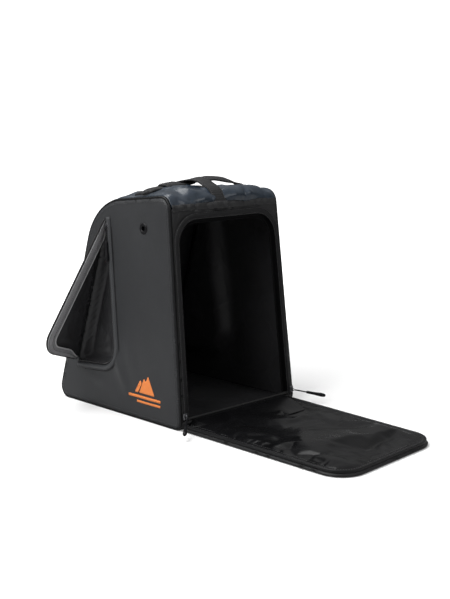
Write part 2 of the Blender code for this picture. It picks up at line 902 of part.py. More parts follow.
def build():
    charcoal = material("coated_fabric", (0.055, 0.057, 0.060), 0.55)
    black = material("frame_fabric", (0.022, 0.022, 0.024), 0.75)
    navy = material("tarpaulin", (0.040, 0.062, 0.090), 0.35)
    lining = material("glossy_lining", (0.012, 0.012, 0.014), 0.28)
    board = material("stiff_board", (0.030, 0.030, 0.030), 0.60)
    trim = material("piping", (0.045, 0.046, 0.048), 0.50)
    grey = material("edge_band", (0.260, 0.265, 0.270), 0.60)
    tape = material("zip_chain", (0.015, 0.015, 0.016), 0.45)
    webbing = material("webbing", (0.028, 0.028, 0.029), 0.80)
    rubber = material("rubber", (0.012, 0.012, 0.013), 0.50)
    metal = material("slider_metal", (0.110, 0.110, 0.115), 0.30, 0.9)

    wrap_panel("base_panel", WRAP.back_end - 0.0034, WRAP.total + 0.0008, black)
    wrap_panel("top_panel", WRAP.front_end + GAP, WRAP.back_start, navy)
    wrap_panel("back_panel", WRAP.back_start + 0.0006, WRAP.back_end - 0.0040, charcoal)
    wrap_panel(
        "back_board",
        WRAP.back_start + 0.025,
        WRAP.back_end - 0.030,
        board,
        columns=2,
        margin=0.0100,
        outwards=-(SKIN + GAP),
        thickness=0.003,
    )
    base_board(board)
    front_frame(black)
    front_sill(black)
    front_zip(tape)
    for side in (LEFT, RIGHT):
        side_panel(side, charcoal)
        piping(side, trim)
        vent_eyelet(side, rubber)
        vent_washer(side, metal)
        pocket_liner(side, lining)
        pocket_trim(side, black, tape)
        hinge, axis = flap_parts(side, charcoal, lining, grey, tape)
        if side == LEFT:
            hinge.matrix_world = fold_open(hinge.matrix_world, axis, LEFT_FLAP_OPEN)
    door_parts(black, lining, trim, tape)
    front_sliders(metal, rubber)
    pocket_sliders(metal, rubber)
    cross_strap(webbing)
    long_strap(webbing)
    handle_grip(webbing)
    anchors(webbing)


def fold_open(placement, axis, angle):
    """A hinge's placement turned outwards about its own point."""
    point = placement.translation.copy()
    about = Matrix.Translation(point) @ Matrix.Rotation(angle, 4, axis) @ Matrix.Translation(-point)
    return about @ placement


clear_scene()
PARTS = bpy.data.collections.new("ski_boot_bag")
bpy.context.scene.collection.children.link(PARTS)
build()
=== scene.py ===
import math

import bmesh
import bpy
import numpy as np
from mathutils import Matrix, Vector, noise
from mathutils.geometry import delaunay_2d_cdt


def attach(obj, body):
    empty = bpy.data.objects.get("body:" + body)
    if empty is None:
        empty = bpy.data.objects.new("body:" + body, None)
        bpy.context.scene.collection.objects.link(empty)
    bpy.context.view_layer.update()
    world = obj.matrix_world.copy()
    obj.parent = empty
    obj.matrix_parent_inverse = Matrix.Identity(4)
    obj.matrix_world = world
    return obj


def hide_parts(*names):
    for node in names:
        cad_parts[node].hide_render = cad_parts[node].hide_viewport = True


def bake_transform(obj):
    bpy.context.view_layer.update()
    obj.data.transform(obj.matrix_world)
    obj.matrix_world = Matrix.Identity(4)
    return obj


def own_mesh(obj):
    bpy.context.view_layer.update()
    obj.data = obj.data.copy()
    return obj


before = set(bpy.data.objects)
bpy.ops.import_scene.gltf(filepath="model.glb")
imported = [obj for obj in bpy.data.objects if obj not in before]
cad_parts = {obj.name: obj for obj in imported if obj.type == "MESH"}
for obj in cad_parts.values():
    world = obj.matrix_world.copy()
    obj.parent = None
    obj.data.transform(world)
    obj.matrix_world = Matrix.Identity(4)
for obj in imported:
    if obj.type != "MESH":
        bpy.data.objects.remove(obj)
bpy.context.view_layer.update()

# ---- the bag's sizes, as in the CAD
HALF_WIDTH = 0.146
SIDE_LEAN = 0.030
DEPTH = 0.356
FRONT_LEAN = 0.100
TOP_CORNER_HEIGHT = 0.408
TOP_FALL = 0.100
BACK_LEAN = 0.282
CORNER_RADII = (0.014, 0.024, 0.108, 0.022)
OPENING_HALF_WIDTH = 0.1335
OPENING_TAPER = 0.0219
OPENING_TOP = 0.3705
OPENING_RADIUS = 0.050
LEG_FOOT = 0.0168
HINGE_HEIGHT = 0.0112
DOOR_UNDERSIDE = 0.0008
DOOR_RADIUS = 0.046
POCKET_APEX = (0.033, 0.363)
POCKET_FRONT = (0.003, 0.088)
POCKET_BACK = (0.118, 0.080)
POCKET_RADII = (0.004, 0.035, 0.008)
FLAP_OPEN = math.radians(80.0)
VENT = (-0.072, 0.346)
VENT_RIM = 0.0072

# the mat as it lies on the floor: its far corners, and the slant it is pulled out along
DOOR_FAR_LEFT = (-0.1262, 0.3560)
DOOR_FAR_RIGHT = (0.1215, 0.3480)
DOOR_STRETCH = 1.07
DOOR_STRETCH_AXIS = (-0.9063, -0.4226, 0.0)
DOOR_STRETCH_FROM = 0.040

# the handle: RISE lists (distance along, height over the top) and ROLL (distance along, slope across)
CROSS_Y = -0.052
CROSS_WIDTH = 0.025
CROSS_TILT = 0.100
CROSS_ENDS = (-0.127, 0.133)
CROSS_RISE = ((-0.127, 0.0040), (-0.115, 0.0064), (-0.103, 0.0118), (-0.078, 0.0143), (-0.050, 0.0162),
              (-0.030, 0.0182), (0.000, 0.0226), (0.045, 0.0262), (0.068, 0.0236), (0.090, 0.0204),
              (0.115, 0.0132), (0.133, 0.0038))
CROSS_ROLL = ((-0.127, 0.0), (-0.090, 0.14), (-0.050, 0.22), (0.000, 0.16), (0.050, 0.36), (0.080, 0.50),
              (0.110, 0.34), (0.133, 0.0))
LONG_X = -0.015
LONG_WIDTH = 0.030
LONG_RISE = ((-0.084, 0.0022), (-0.066, 0.0110), (-0.049, 0.0215), (-0.0355, 0.0258), (-0.023, 0.0266),
             (0.000, 0.0246), (0.032, 0.0195), (0.052, 0.0145), (0.082, 0.0075), (0.100, 0.0048),
             (0.125, 0.0042))
LONG_ROLL = 0.13
CROSSING = 0.4699
GRIP_ENDS = (-0.074, -0.004)

# how finely things are made
ARC_STEPS = 14
EDGE_STEP = 0.004
WRAP_HALF = 0.135
TOP_SPACING = 0.0030
BACK_SPACING = 0.0055
CORD_SIDES = 10
STITCH_SIDES = 5
THREAD_RADIUS = 0.00038
CLOTH_FRAMES = 20

LEFT, RIGHT = -1, 1
SIDE_NAMES = {LEFT: "left", RIGHT: "right"}


# ---- flat geometry, in numpy
def unit(v):
    v = np.asarray(v, float)
    return v / np.linalg.norm(v)


def units(rows):
    return rows / np.linalg.norm(rows, axis=1)[:, None]


def perpendicular(v):
    return np.array([-v[1], v[0]])


def lengths_along(path):
    """Each point's distance along a path."""
    return np.concatenate([[0], np.cumsum(np.linalg.norm(np.diff(path, axis=0), axis=1))])


def directions(path, closed=False):
    """The way ahead at each of a path's points."""
    if closed:
        return units(np.roll(path, -1, 0) - np.roll(path, 1, 0))
    return units(np.gradient(path, axis=0))


def corner_arc(before, corner, after, radius):
    """Points of the arc that rounds a corner."""
    before, corner, after = (np.asarray(p, float) for p in (before, corner, after))
    towards, away = unit(before - corner), unit(after - corner)
    half = math.acos(float(np.clip(towards @ away, -1, 1))) / 2
    centre = corner + unit(towards + away) * radius / math.sin(half)
    first = corner + towards * radius / math.tan(half) - centre
    last = corner + away * radius / math.tan(half) - centre
    sweep = math.atan2(perpendicular(first) @ last, first @ last)
    angles = np.linspace(0, sweep, ARC_STEPS + 1)[:, None]
    return centre + first * np.cos(angles) + perpendicular(first) * np.sin(angles)


def outline(corners, radii, inset=0.0):
    """A closed outline with rounded corners, every edge moved inwards."""
    corners = np.asarray(corners, float)
    following = np.roll(corners, -1, 0)
    turning = np.sign((corners[:, 0] * following[:, 1] - corners[:, 1] * following[:, 0]).sum())
    edges = units(following - corners)
    inwards = np.stack([-edges[:, 1], edges[:, 0]], 1) * turning
    middle = units(inwards + np.roll(inwards, 1, 0))
    corners = corners + middle * inset / (middle * inwards).sum(1)[:, None]
    count = len(corners)
    return np.vstack([
        corner_arc(corners[i - 1], corners[i], corners[(i + 1) % count], max(radii[i] - inset, 0.001))
        for i in range(count)
    ])


def rounded_path(corners, radius):
    """An open path through corners, rounded at all but its ends."""
    arcs = [corner_arc(*corners[i:i + 3], radius) for i in range(len(corners) - 2)]
    return np.vstack([corners[:1], *arcs, corners[-1:]])


def resampled(path, spacing, closed=False):
    """A path's points at equal steps."""
    path = np.asarray(path, float)
    if closed:
        path = np.vstack([path, path[:1]])
    along = lengths_along(path)
    count = max(2, int(round(along[-1] / spacing)))
    wanted = np.linspace(0, along[-1], count + 1)
    if closed:
        wanted = wanted[:-1]
    return np.stack([np.interp(wanted, along, path[:, k]) for k in range(path.shape[1])], 1)


def sideways(path, distance):
    """A flat path moved to its left."""
    ahead = directions(path)
    return path + np.stack([-ahead[:, 1], ahead[:, 0]], 1) * np.asarray(distance).reshape(-1, 1)


def inside(points, polygon):
    """Which points lie in a polygon."""
    result = np.zeros(len(points), bool)
    x, y = points[:, 0], points[:, 1]
    for a, b in zip(polygon, np.roll(polygon, -1, 0)):
        crosses = (a[1] > y) != (b[1] > y)
        with np.errstate(divide="ignore", invalid="ignore"):
            at = (b[0] - a[0]) * (y - a[1]) / (b[1] - a[1]) + a[0]
        result ^= crosses & (x < at)
    return result


def distance_to(points, loops, batch=2000):
    """Each point's distance to the nearest of some closed loops."""
    best = np.full(len(points), np.inf)
    for loop in loops:
        dense = resampled(loop, 0.0015, closed=True)
        for start in range(0, len(points), batch):
            part = slice(start, start + batch)
            gap = np.linalg.norm(points[part, None, :] - dense[None, :, :], axis=2).min(1)
            best[part] = np.minimum(best[part], gap)
    return best


def smooth(t):
    t = np.clip(t, 0.0, 1.0)
    return t * t * (3 - 2 * t)


def noise_at(points, scale, seed):
    """Smooth noise between -1 and 1 at flat points; scale is the size of a lump."""
    shift = Vector((seed * 7.3, seed * 3.1, seed * 1.7))
    return np.array([noise.noise(Vector((x / scale, y / scale, 0.0)) + shift) for x, y in points])


def facets(points, seed, spacing, stretch=(1.0, 1.0)):
    """Heights between 0 and 1 over flat facets that meet in sharp folds, as in crushed stiff cloth."""
    draw = np.random.RandomState(seed)
    points = points / np.array(stretch)
    low, high = points.min(0) - spacing * 1.6, points.max(0) + spacing * 1.6
    corners = np.array([(x, y) for y in np.arange(low[1], high[1], spacing)
                        for x in np.arange(low[0], high[0], spacing)])
    corners = corners + (draw.rand(len(corners), 2) - 0.5) * spacing * 0.95
    heights = draw.rand(len(corners))
    made = delaunay_2d_cdt([Vector(c) for c in corners], [], [], 0, 1e-7)
    places = np.array([tuple(v) for v in made[0]])
    heights = np.array([heights[origin[0]] for origin in made[3]])
    result = np.zeros(len(points))
    for triangle in made[2]:
        place, height = places[list(triangle)], heights[list(triangle)]
        near = np.flatnonzero((points >= place.min(0)).all(1) & (points <= place.max(0)).all(1))
        if not len(near):
            continue
        share = np.linalg.solve((place[1:] - place[0]).T, (points[near] - place[0]).T).T
        within = (share >= -1e-6).all(1) & (share.sum(1) <= 1 + 1e-6)
        result[near[within]] = height[0] + share[within] @ (height[1:] - height[0])
    return result


def creases(points, seed, count, amplitude, width, length):
    """Tent-shaped folds at seeded places and directions, added up, as in coated cloth that was crumpled."""
    draw = np.random.RandomState(seed)
    low, high = points.min(0), points.max(0)
    height = np.zeros(len(points))
    for _ in range(count):
        centre = low + (high - low) * draw.rand(2)
        angle = draw.rand() * math.pi
        along = np.array([math.cos(angle), math.sin(angle)])
        reach = length * (0.5 + draw.rand())
        spread = width * (0.5 + draw.rand())
        lift = amplitude * (0.4 + 0.6 * draw.rand()) * (1 if draw.rand() > 0.3 else -0.7)
        offset = points - centre
        ridge = np.clip(1 - np.abs(offset @ perpendicular(along)) / spread, 0, 1)
        height += lift * ridge * smooth(1 - np.abs(offset @ along) / reach)
    return height


def eased(x, points, reach=0.008):
    """A soft line through a few (distance, value) points."""
    at, values = np.array(points).T
    shifts = np.linspace(-1, 1, 9)
    weights = np.exp(-2 * shifts ** 2)
    return sum(w * np.interp(x + s * reach, at, values) for w, s in zip(weights, shifts)) / weights.sum()


# ---- the bag's outlines
def side_corners():
    front, back = -DEPTH / 2, DEPTH / 2
    top_y = front + FRONT_LEAN * TOP_CORNER_HEIGHT
    back_y = (back - BACK_LEAN * (TOP_CORNER_HEIGHT + TOP_FALL * top_y)) / (1 - BACK_LEAN * TOP_FALL)
    back_height = TOP_CORNER_HEIGHT - TOP_FALL * (back_y - top_y)
    return np.array([(front, 0.0), (top_y, TOP_CORNER_HEIGHT), (back_y, back_height), (back, 0.0)])


def side_loop(inset):
    return outline(side_corners(), CORNER_RADII, inset)


class Wrap:
    """The side view's outline from the front edge's foot, over the top, down the back and under the base."""

    def __init__(self):
        whole = side_loop(0.0)
        arc = ARC_STEPS + 1
        self.points = np.vstack([whole[ARC_STEPS:], whole[:arc]])
        self.along = lengths_along(self.points)
        self.front_end = self.along[1]
        self.top_end = self.along[arc + 1]
        self.back_start = self.along[2 * arc]
        self.back_end = self.along[2 * arc + 1]
        self.base_start = self.along[3 * arc]
        self.total = self.along[-1]

    def at(self, length, outwards=0.0, step=0.001):
        """(y, z) at lengths along the outline, moved outwards."""
        def place(shift):
            wanted = np.mod(np.mod(length, self.total) + shift, self.total)
            return [np.interp(wanted, self.along, self.points[:, k]) for k in (0, 1)]

        (y, z), ahead, behind = place(0.0), place(step), place(-step)
        dy, dz = ahead[0] - behind[0], ahead[1] - behind[1]
        size = np.hypot(dy, dz)
        return y - dz / size * outwards, z + dy / size * outwards


WRAP = Wrap()
BACK_SPAN = (WRAP.back_start - 0.002, WRAP.back_end - 0.002)
BACK_SEAMS = (0.34, 0.67)
STRAP_FEET = ((-0.120, CROSSING), (0.120, CROSSING), (LONG_X, 0.580), (LONG_X, WRAP.front_end))


def half_width(z):
    return HALF_WIDTH - SIDE_LEAN * z


def top_height(y):
    corner = side_corners()[1]
    return corner[1] - TOP_FALL * (y - corner[0])


def opening_half_width(height):
    return OPENING_HALF_WIDTH - OPENING_TAPER * height


def opening_path(foot):
    """The arch of the front opening from its left foot to its right foot."""
    low, high = opening_half_width(foot), opening_half_width(OPENING_TOP)
    corners = [(-low, foot), (-high, OPENING_TOP), (high, OPENING_TOP), (low, foot)]
    return rounded_path(corners, OPENING_RADIUS)


def pocket_outline(inset=0.0):
    return outline([POCKET_APEX, POCKET_FRONT, POCKET_BACK], POCKET_RADII, inset)


def pocket_edge(trim=0.004):
    """The pocket's zipped edge from the apex, down the front, round and back along the bottom."""
    apex, front, back = (np.array(p) for p in (POCKET_APEX, POCKET_FRONT, POCKET_BACK))
    corners = [apex + unit(front - apex) * trim, front, back - unit(back - front) * trim]
    return resampled(rounded_path(corners, POCKET_RADII[1]), EDGE_STEP)


def door_corners():
    low = opening_half_width(HINGE_HEIGHT) - 0.0007
    return [(-low, 0.002), (low, 0.002), DOOR_FAR_RIGHT, DOOR_FAR_LEFT]


def door_outline(inset=0.0):
    return outline(door_corners(), (0.004, 0.004, DOOR_RADIUS, DOOR_RADIUS), inset)


def door_edge():
    """The door's free edge from the hinge, round the far end and back to the hinge."""
    low_left, low_right, far_right, far_left = door_corners()
    return resampled(rounded_path([low_right, far_right, far_left, low_left], DOOR_RADIUS), EDGE_STEP)


# ---- faces of the bag
class Face:
    """A flat face: an origin, two axes in it, and the direction that points out of it."""

    def __init__(self, origin, a, b, outwards):
        self.origin = np.asarray(origin, float)
        self.a, self.b, self.out = unit(a), unit(b), unit(outwards)
        self.flipped = np.cross(self.a, self.b) @ self.out < 0

    def place(self, flat, height=0.0):
        height = np.broadcast_to(height, (len(flat),))
        return self.origin + flat[:, :1] * self.a + flat[:, 1:2] * self.b + height[:, None] * self.out

    def line(self, flat, height):
        """A flat path on the face, with its normals, for stitches and teeth."""
        return self.place(flat, height), np.repeat([self.out], len(flat), 0)


def side_face(side):
    up = unit((-side * SIDE_LEAN, 0, 1))
    return Face((side * HALF_WIDTH, 0, 0), (0, 1, 0), up, np.cross((0, 1, 0), up) * side)


FRONT_UP = unit((0, FRONT_LEAN, 1))
FRONT = Face((0, -DEPTH / 2, 0), (1, 0, 0), FRONT_UP, np.cross((1, 0, 0), FRONT_UP))
HINGE = FRONT.place(np.array([[0, HINGE_HEIGHT]]))[0]
DOOR = Face(HINGE, (1, 0, 0), (0, -1, 0), (0, 0, 1))
FLOOR_SIDE = -(HINGE_HEIGHT - DOOR_UNDERSIDE)


def flap_turn(side):
    """The matrix that folds the left flap out from closed to its open rest; nothing on the right."""
    if side == RIGHT:
        return Matrix.Identity(4)
    ends = side_face(side).place(np.array([POCKET_APEX, POCKET_BACK]))
    axis = Vector(unit(ends[1] - ends[0]))
    point = Vector(ends[0])
    return Matrix.Translation(point) @ Matrix.Rotation(FLAP_OPEN, 4, axis) @ Matrix.Translation(-point)


# ---- node materials
def new_material(name):
    made = bpy.data.materials.new(name)
    made.use_nodes = True
    return made, made.node_tree, made.node_tree.nodes["Principled BSDF"]


def node(tree, kind, inputs=None, **settings):
    made = tree.nodes.new("ShaderNode" + kind)
    for key, value in settings.items():
        setattr(made, key, value)
    for key, value in (inputs or {}).items():
        if isinstance(value, bpy.types.NodeSocket):
            tree.links.new(value, made.inputs[key])
        else:
            made.inputs[key].default_value = value
    return made


def scaled(tree, vector, scale):
    return node(tree, "Mapping", {"Vector": vector, "Scale": scale}).outputs["Vector"]


def maths(tree, operation, first, second):
    return node(tree, "Math", {0: first, 1: second}, operation=operation).outputs[0]


def spots(tree, vector, scale, detail):
    inputs = {"Vector": vector, "Scale": scale, "Detail": detail, "Roughness": 0.55}
    return node(tree, "TexNoise", inputs).outputs["Fac"]


def ribs_along(tree, vector, scale, direction):
    inputs = {"Vector": scaled(tree, vector, scale), "Scale": 0.16}
    return node(tree, "TexWave", inputs, bands_direction=direction).outputs["Fac"]


def ranged(tree, value, low, high, from_low=0.3, from_high=0.7, **settings):
    inputs = {"Value": value, "From Min": from_low, "From Max": from_high, "To Min": low, "To Max": high}
    return node(tree, "MapRange", inputs, **settings).outputs["Result"]


def times(colour, factor):
    return [min(c * factor, 1) for c in colour]


def mixed(tree, share, first, second):
    """One colour turning into another, each a socket or three numbers."""
    first, second = (c if isinstance(c, bpy.types.NodeSocket) else (*c, 1) for c in (first, second))
    return node(tree, "Mix", {0: share, 6: first, 7: second}, data_type="RGBA").outputs[2]


def surfaced(tree, shader, colour, roughness, bump, **values):
    """Links a material's colour, roughness and bump (height, strength, distance), and sets other values."""
    relief = node(tree, "Bump", dict(zip(("Height", "Strength", "Distance"), bump)))
    tree.links.new(colour, shader.inputs["Base Color"])
    tree.links.new(roughness, shader.inputs["Roughness"])
    tree.links.new(relief.outputs["Normal"], shader.inputs["Normal"])
    names = {"specular": "Specular IOR Level", "metallic": "Metallic", "coat": "Coat Weight"}
    for key, value in values.items():
        shader.inputs[names[key]].default_value = value


def woven(name, colour, roughness, ribs, rib_strength, vary, grain, specular=0.5, use_uv=True,
          bump_distance=0.0006, painted_light_above=None):
    """Cloth: thread ribs both ways, cloudy colour, uneven gloss and a fine grain. Two heights, if given last,
    paint in light: the colour turns paler above them.
    """
    made, tree, shader = new_material(name)
    where = node(tree, "TexCoord").outputs
    solid = where["Object"]
    flat = where["UV"] if use_uv else solid
    cloudy = spots(tree, solid, 9.0, 4.0)
    fine = spots(tree, solid, 160.0, 3.0)
    pale = times(colour, 1 + vary)
    blend = mixed(tree, ranged(tree, cloudy, 0, 1), times(colour, 1 - vary), pale)
    speckle = mixed(tree, ranged(tree, fine, 0, grain), blend, times(pale, 2.2))
    if painted_light_above:
        # painted light: above these heights the colour is mixed towards a paler copy of itself
        upwards = node(tree, "SeparateXYZ", {0: solid}).outputs["Z"]
        speckle = mixed(tree, ranged(tree, upwards, 0, 0.8, *painted_light_above), speckle, times(colour, 2.6))
    threads = maths(tree, "MULTIPLY", ribs_along(tree, flat, (ribs[0], 0, 0), "X"),
                    ribs_along(tree, flat, (0, ribs[1], 0), "Y"))
    height = maths(tree, "ADD", maths(tree, "MULTIPLY", threads, rib_strength),
                   maths(tree, "MULTIPLY", fine, 0.35))
    dull = ranged(tree, cloudy, max(roughness - 0.08, 0.05), min(roughness + 0.08, 1))
    surfaced(tree, shader, speckle, dull, (height, 0.5, bump_distance), specular=specular)
    return made


def crumpled(name, colour, pale, roughness, crease_scale, crease_depth, specular):
    """Coated cloth that keeps its creases: folds from cell borders, with a painted highlight in the pale
    colour where it is sharply bent.
    """
    made, tree, shader = new_material(name)
    solid = node(tree, "TexCoord").outputs["Object"]
    wander = node(tree, "TexNoise", {"Vector": solid, "Scale": 14.0}).outputs["Color"]
    warped = node(tree, "Mix", {0: 0.06, 4: solid, 5: wander}, data_type="VECTOR").outputs[1]
    cells = node(
        tree, "TexVoronoi", {"Vector": warped, "Scale": crease_scale}, feature="DISTANCE_TO_EDGE"
    ).outputs["Distance"]
    lumps = spots(tree, solid, crease_scale * 0.8, 4.0)
    cloudy = spots(tree, solid, 12.0, 3.0)
    fine = spots(tree, solid, 260.0, 2.0)
    fold = ranged(tree, cells, 1.0, 0.0, 0.0, 0.09)
    clouded = mixed(tree, ranged(tree, cloudy, 0, 1), colour, times(colour, 1.35))
    # painted highlight: the colour turns towards the pale one along the folds
    wear_and_painted_highlight = mixed(tree, maths(tree, "MULTIPLY", fold, 0.35), clouded, pale)
    height = maths(tree, "ADD", maths(tree, "MULTIPLY", lumps, 0.9), maths(tree, "MULTIPLY", fold, 0.30))
    height = maths(tree, "ADD", height, maths(tree, "MULTIPLY", fine, 0.02))
    dull = ranged(tree, cloudy, roughness - 0.05, roughness + 0.10)
    surfaced(tree, shader, wear_and_painted_highlight, dull, (height, 0.6, crease_depth), specular=specular)
    return made


def moulded(name, colour, roughness, metallic=0.0, scratch=0.0, coat=0.0, specular=0.5):
    """Rubber, plastic or metal with handling wear."""
    made, tree, shader = new_material(name)
    solid = node(tree, "TexCoord").outputs["Object"]
    cloudy = spots(tree, solid, 40.0, 4.0)
    fine = spots(tree, solid, 700.0, 2.0)
    wear_and_painted_highlight = mixed(tree, ranged(tree, cloudy, 0, 1), times(colour, 0.85), times(colour, 1.25))
    if scratch:
        lines = spots(tree, scaled(tree, solid, (1, 1, 0.05)), 900.0, 2.0)
        wear_and_painted_highlight = mixed(tree, ranged(tree, lines, 0, scratch, 0.55, 0.75), wear_and_painted_highlight, (0.6, 0.6, 0.62))
    dull = ranged(tree, cloudy, roughness - 0.06, roughness + 0.08)
    surfaced(tree, shader, wear_and_painted_highlight, dull, (fine, 0.25, 0.0003), metallic=metallic, specular=specular, coat=coat)
    return made


CHARCOAL = woven("charcoal_coated", (0.0285, 0.0295, 0.0315), 0.46, (700, 700), 0.10, 0.07, 0.04, 0.26)
# the black frame cloth is painted paler from 0.350 to 0.385 up, as painted light on the lit header
BLACK = woven("black_frame_cloth", (0.0095, 0.0095, 0.0100), 0.44, (520, 520), 0.45, 0.18, 0.06, 0.28,
              painted_light_above=(0.350, 0.385))
# the tarpaulin, lining and mat take their pale colour along the crease folds as a painted highlight
NAVY = crumpled("navy_tarpaulin", (0.0105, 0.0180, 0.0285), (0.04, 0.05, 0.07), 0.30, 16.0, 0.0006, 0.50)
LINING = crumpled("glossy_black_lining", (0.0230, 0.0230, 0.0245), (0.030, 0.030, 0.033), 0.40, 12.0, 0.0026,
                  0.34)
MAT = crumpled("glossy_mat", (0.0036, 0.0036, 0.0040), (0.008, 0.008, 0.009), 0.24, 9.0, 0.0012, 0.18)
# the inner tape is dark cloth, made darker still, nearly black, as painted shade inside the opening's rim
INNER_TAPE_PAINTED_SHADE = woven("inner_tape_painted_shade", (0.0030, 0.0030, 0.0034), 0.60, (500, 900), 0.3, 0.10, 0.04, 0.08)
PIPING = woven("piping_cloth", (0.0060, 0.0062, 0.0068), 0.38, (500, 900), 0.3, 0.10, 0.06, 0.20)
FACING = woven("pocket_welt_cloth", (0.042, 0.044, 0.047), 0.48, (700, 700), 0.15, 0.08, 0.05, 0.34)
TAPE = woven("zip_tape", (0.0065, 0.0065, 0.0072), 0.44, (500, 1200), 0.6, 0.12, 0.08, 0.22)
# the flap's band is grey cloth; its colour is raised well above that as painted light, making up for the band
# facing away from the lamps
BAND_PAINTED_LIGHTER = woven("flap_band_cloth_painted_lighter", (0.200, 0.200, 0.207), 0.60, (500, 1400), 0.8, 0.14, 0.14, 0.35)
PALE_BINDING = woven("pale_binding", (0.42, 0.42, 0.43), 0.55, (600, 1400), 0.5, 0.12, 0.10, 0.35)
WEBBING = woven("ribbed_webbing", (0.014, 0.014, 0.015), 0.70, (1400, 420), 1.3, 0.14, 0.08, 0.3,
                bump_distance=0.0009)
GRIP = woven("grip_cloth", (0.012, 0.012, 0.013), 0.75, (600, 600), 0.6, 0.16, 0.08, 0.3)
THREAD = woven("thread", (0.045, 0.045, 0.047), 0.60, (2000, 2000), 0.4, 0.15, 0.10, use_uv=False)
BOARD = moulded("stiff_board", (0.012, 0.012, 0.013), 0.62)
TEETH = moulded("zip_teeth", (0.014, 0.014, 0.015), 0.32, coat=0.3)
RUBBER = moulded("moulded_rubber", (0.006, 0.006, 0.007), 0.42, coat=0.08, specular=0.16)
METAL = moulded("gunmetal", (0.16, 0.16, 0.17), 0.28, 1.0, scratch=0.5)
PRINT = woven("orange_print", (0.80, 0.235, 0.060), 0.48, (700, 700), 0.1, 0.05, 0.03, 0.3)


# ---- making meshes
def as_object(name, points, faces, look, uv=None):
    """A mesh object in the row frame, smooth shaded."""
    mesh = bpy.data.meshes.new(name)
    mesh.from_pydata([tuple(p) for p in points], [], [tuple(int(i) for i in f) for f in faces])
    mesh.update()
    if uv is not None:
        layer = mesh.uv_layers.new(name="uv")
        corner = np.zeros(len(mesh.loops), np.int32)
        mesh.loops.foreach_get("vertex_index", corner)
        layer.data.foreach_set("uv", np.asarray(uv, np.float32)[corner].reshape(-1))
    mesh.materials.append(look)
    mesh.shade_smooth()
    made = bpy.data.objects.new(name, mesh)
    bpy.context.scene.collection.objects.link(made)
    return made


def thick(obj, thickness, offset=-1.0, rounds=0):
    """Subdivides a skin if asked, then gives it its thickness, away from the side its faces look to."""
    if rounds:
        extra = obj.modifiers.new("rounds", "SUBSURF")
        extra.levels = rounds
        extra.render_levels = rounds
    solid = obj.modifiers.new("thickness", "SOLIDIFY")
    solid.thickness = thickness
    solid.offset = offset
    depsgraph = bpy.context.evaluated_depsgraph_get()
    mesh = bpy.data.meshes.new_from_object(obj.evaluated_get(depsgraph), depsgraph=depsgraph)
    old = obj.data
    obj.modifiers.clear()
    obj.data = mesh
    bpy.data.meshes.remove(old)
    return obj


def filled(loops, spacing):
    """Points and triangles that fill the first loop and leave the others open."""
    edges, points = [], []
    rims = [resampled(loop, spacing * 0.8, closed=True) for loop in loops]
    for rim in rims:
        start = len(points)
        points += [Vector(p) for p in rim]
        edges += [(start + i, start + (i + 1) % len(rim)) for i in range(len(rim))]

    def filling(places):
        within = inside(places, rims[0])
        for rim in rims[1:]:
            within &= ~inside(places, rim)
        return within

    low, high = rims[0].min(0), rims[0].max(0)
    grid = []
    for number, height in enumerate(np.arange(low[1], high[1], spacing * 0.866)):
        start = low[0] + (spacing / 2 if number % 2 else 0)
        grid += [(x, height) for x in np.arange(start, high[0], spacing)]
    grid = np.array(grid)
    grid = grid[filling(grid)]
    grid = grid[distance_to(grid, rims) > spacing * 0.45]
    points += [Vector(p) for p in grid]
    result = delaunay_2d_cdt(points, edges, [], 0, 1e-7)
    flat = np.array([tuple(p) for p in result[0]])
    faces = np.array([f for f in result[2] if len(f) == 3])
    return flat, faces[filling(flat[faces].mean(1))], rims


def cloth_panel(name, face, loops, spacing, height, look, thickness=0.0):
    """A cloth panel on a face, its outer surface raised by height(points, distance from the edges)."""
    flat, faces, rims = filled(loops, spacing)
    points = face.place(flat, height(flat, distance_to(flat, rims)))
    if face.flipped:
        faces = faces[:, ::-1]
    panel = as_object(name, points, faces, look, uv=flat)
    if thickness:
        thick(panel, thickness)
    return panel


def grid_faces(rows, columns, closed=False, tube=False):
    """A grid's faces; closed joins its last row to its first, and tube its last column to its first."""
    faces = []
    for r in range(rows if closed else rows - 1):
        here, there = r * columns, (r + 1) % rows * columns
        for c in range(columns if tube else columns - 1):
            following = (c + 1) % columns
            faces.append((here + c, here + following, there + following, there + c))
    return faces


def grid_skin(name, points, uv, look, facing=None, tube=False):
    """A skin over a rows x columns array of points, its faces turned to look the facing way."""
    faces = grid_faces(*points.shape[:2], tube=tube)
    skin = as_object(name, points.reshape(-1, 3), faces, look, uv=uv.reshape(-1, 2))
    if facing is not None:
        average = sum((p.normal * p.area for p in skin.data.polygons), Vector())
        if average.dot(Vector(facing)) < 0:
            skin.data.flip_normals()
    return skin


def grid_uv(across, along):
    return np.stack(np.meshgrid(across, along), 2)


def wrap_grid(start, end, spacing):
    """How many rows and columns a skin on the wrap has."""
    return max(3, int((end - start) / spacing) + 1), int(2 * WRAP_HALF / spacing)


def wrap_skin(name, start, end, look, outwards, spacing, margin=0.0040, thickness=0.0):
    """A skin across the bag that follows the wrap; outwards(flat points, share across, length) raises it."""
    rows, columns = wrap_grid(start, end, spacing)
    length = np.linspace(start, end, rows)[:, None].repeat(columns, 1)
    share = np.linspace(-1, 1, columns)[None, :].repeat(rows, 0)
    flat = np.stack([share * WRAP_HALF, length], 2)
    lift = outwards(flat.reshape(-1, 2), share.reshape(-1), length.reshape(-1)).reshape(rows, columns)
    y, z = WRAP.at(length, lift)
    x = share * (half_width(WRAP.at(length)[1]) - margin)
    skin = grid_skin(name, np.stack([x, y, z], 2), flat, look)
    if thickness:
        thick(skin, thickness)
    return skin


def ribbon(name, face, path, section, look, thickness=0.0008):
    """A strip along a flat path; section lists (distance to the path's left, height) across it."""
    points = np.stack([face.place(sideways(path, across), height) for across, height in section], 1)
    uv = grid_uv([s[0] for s in section], lengths_along(path))
    if not face.flipped:
        points, uv = points[:, ::-1], uv[:, ::-1]
    return thick(grid_skin(name, points, uv, look, face.out), thickness)


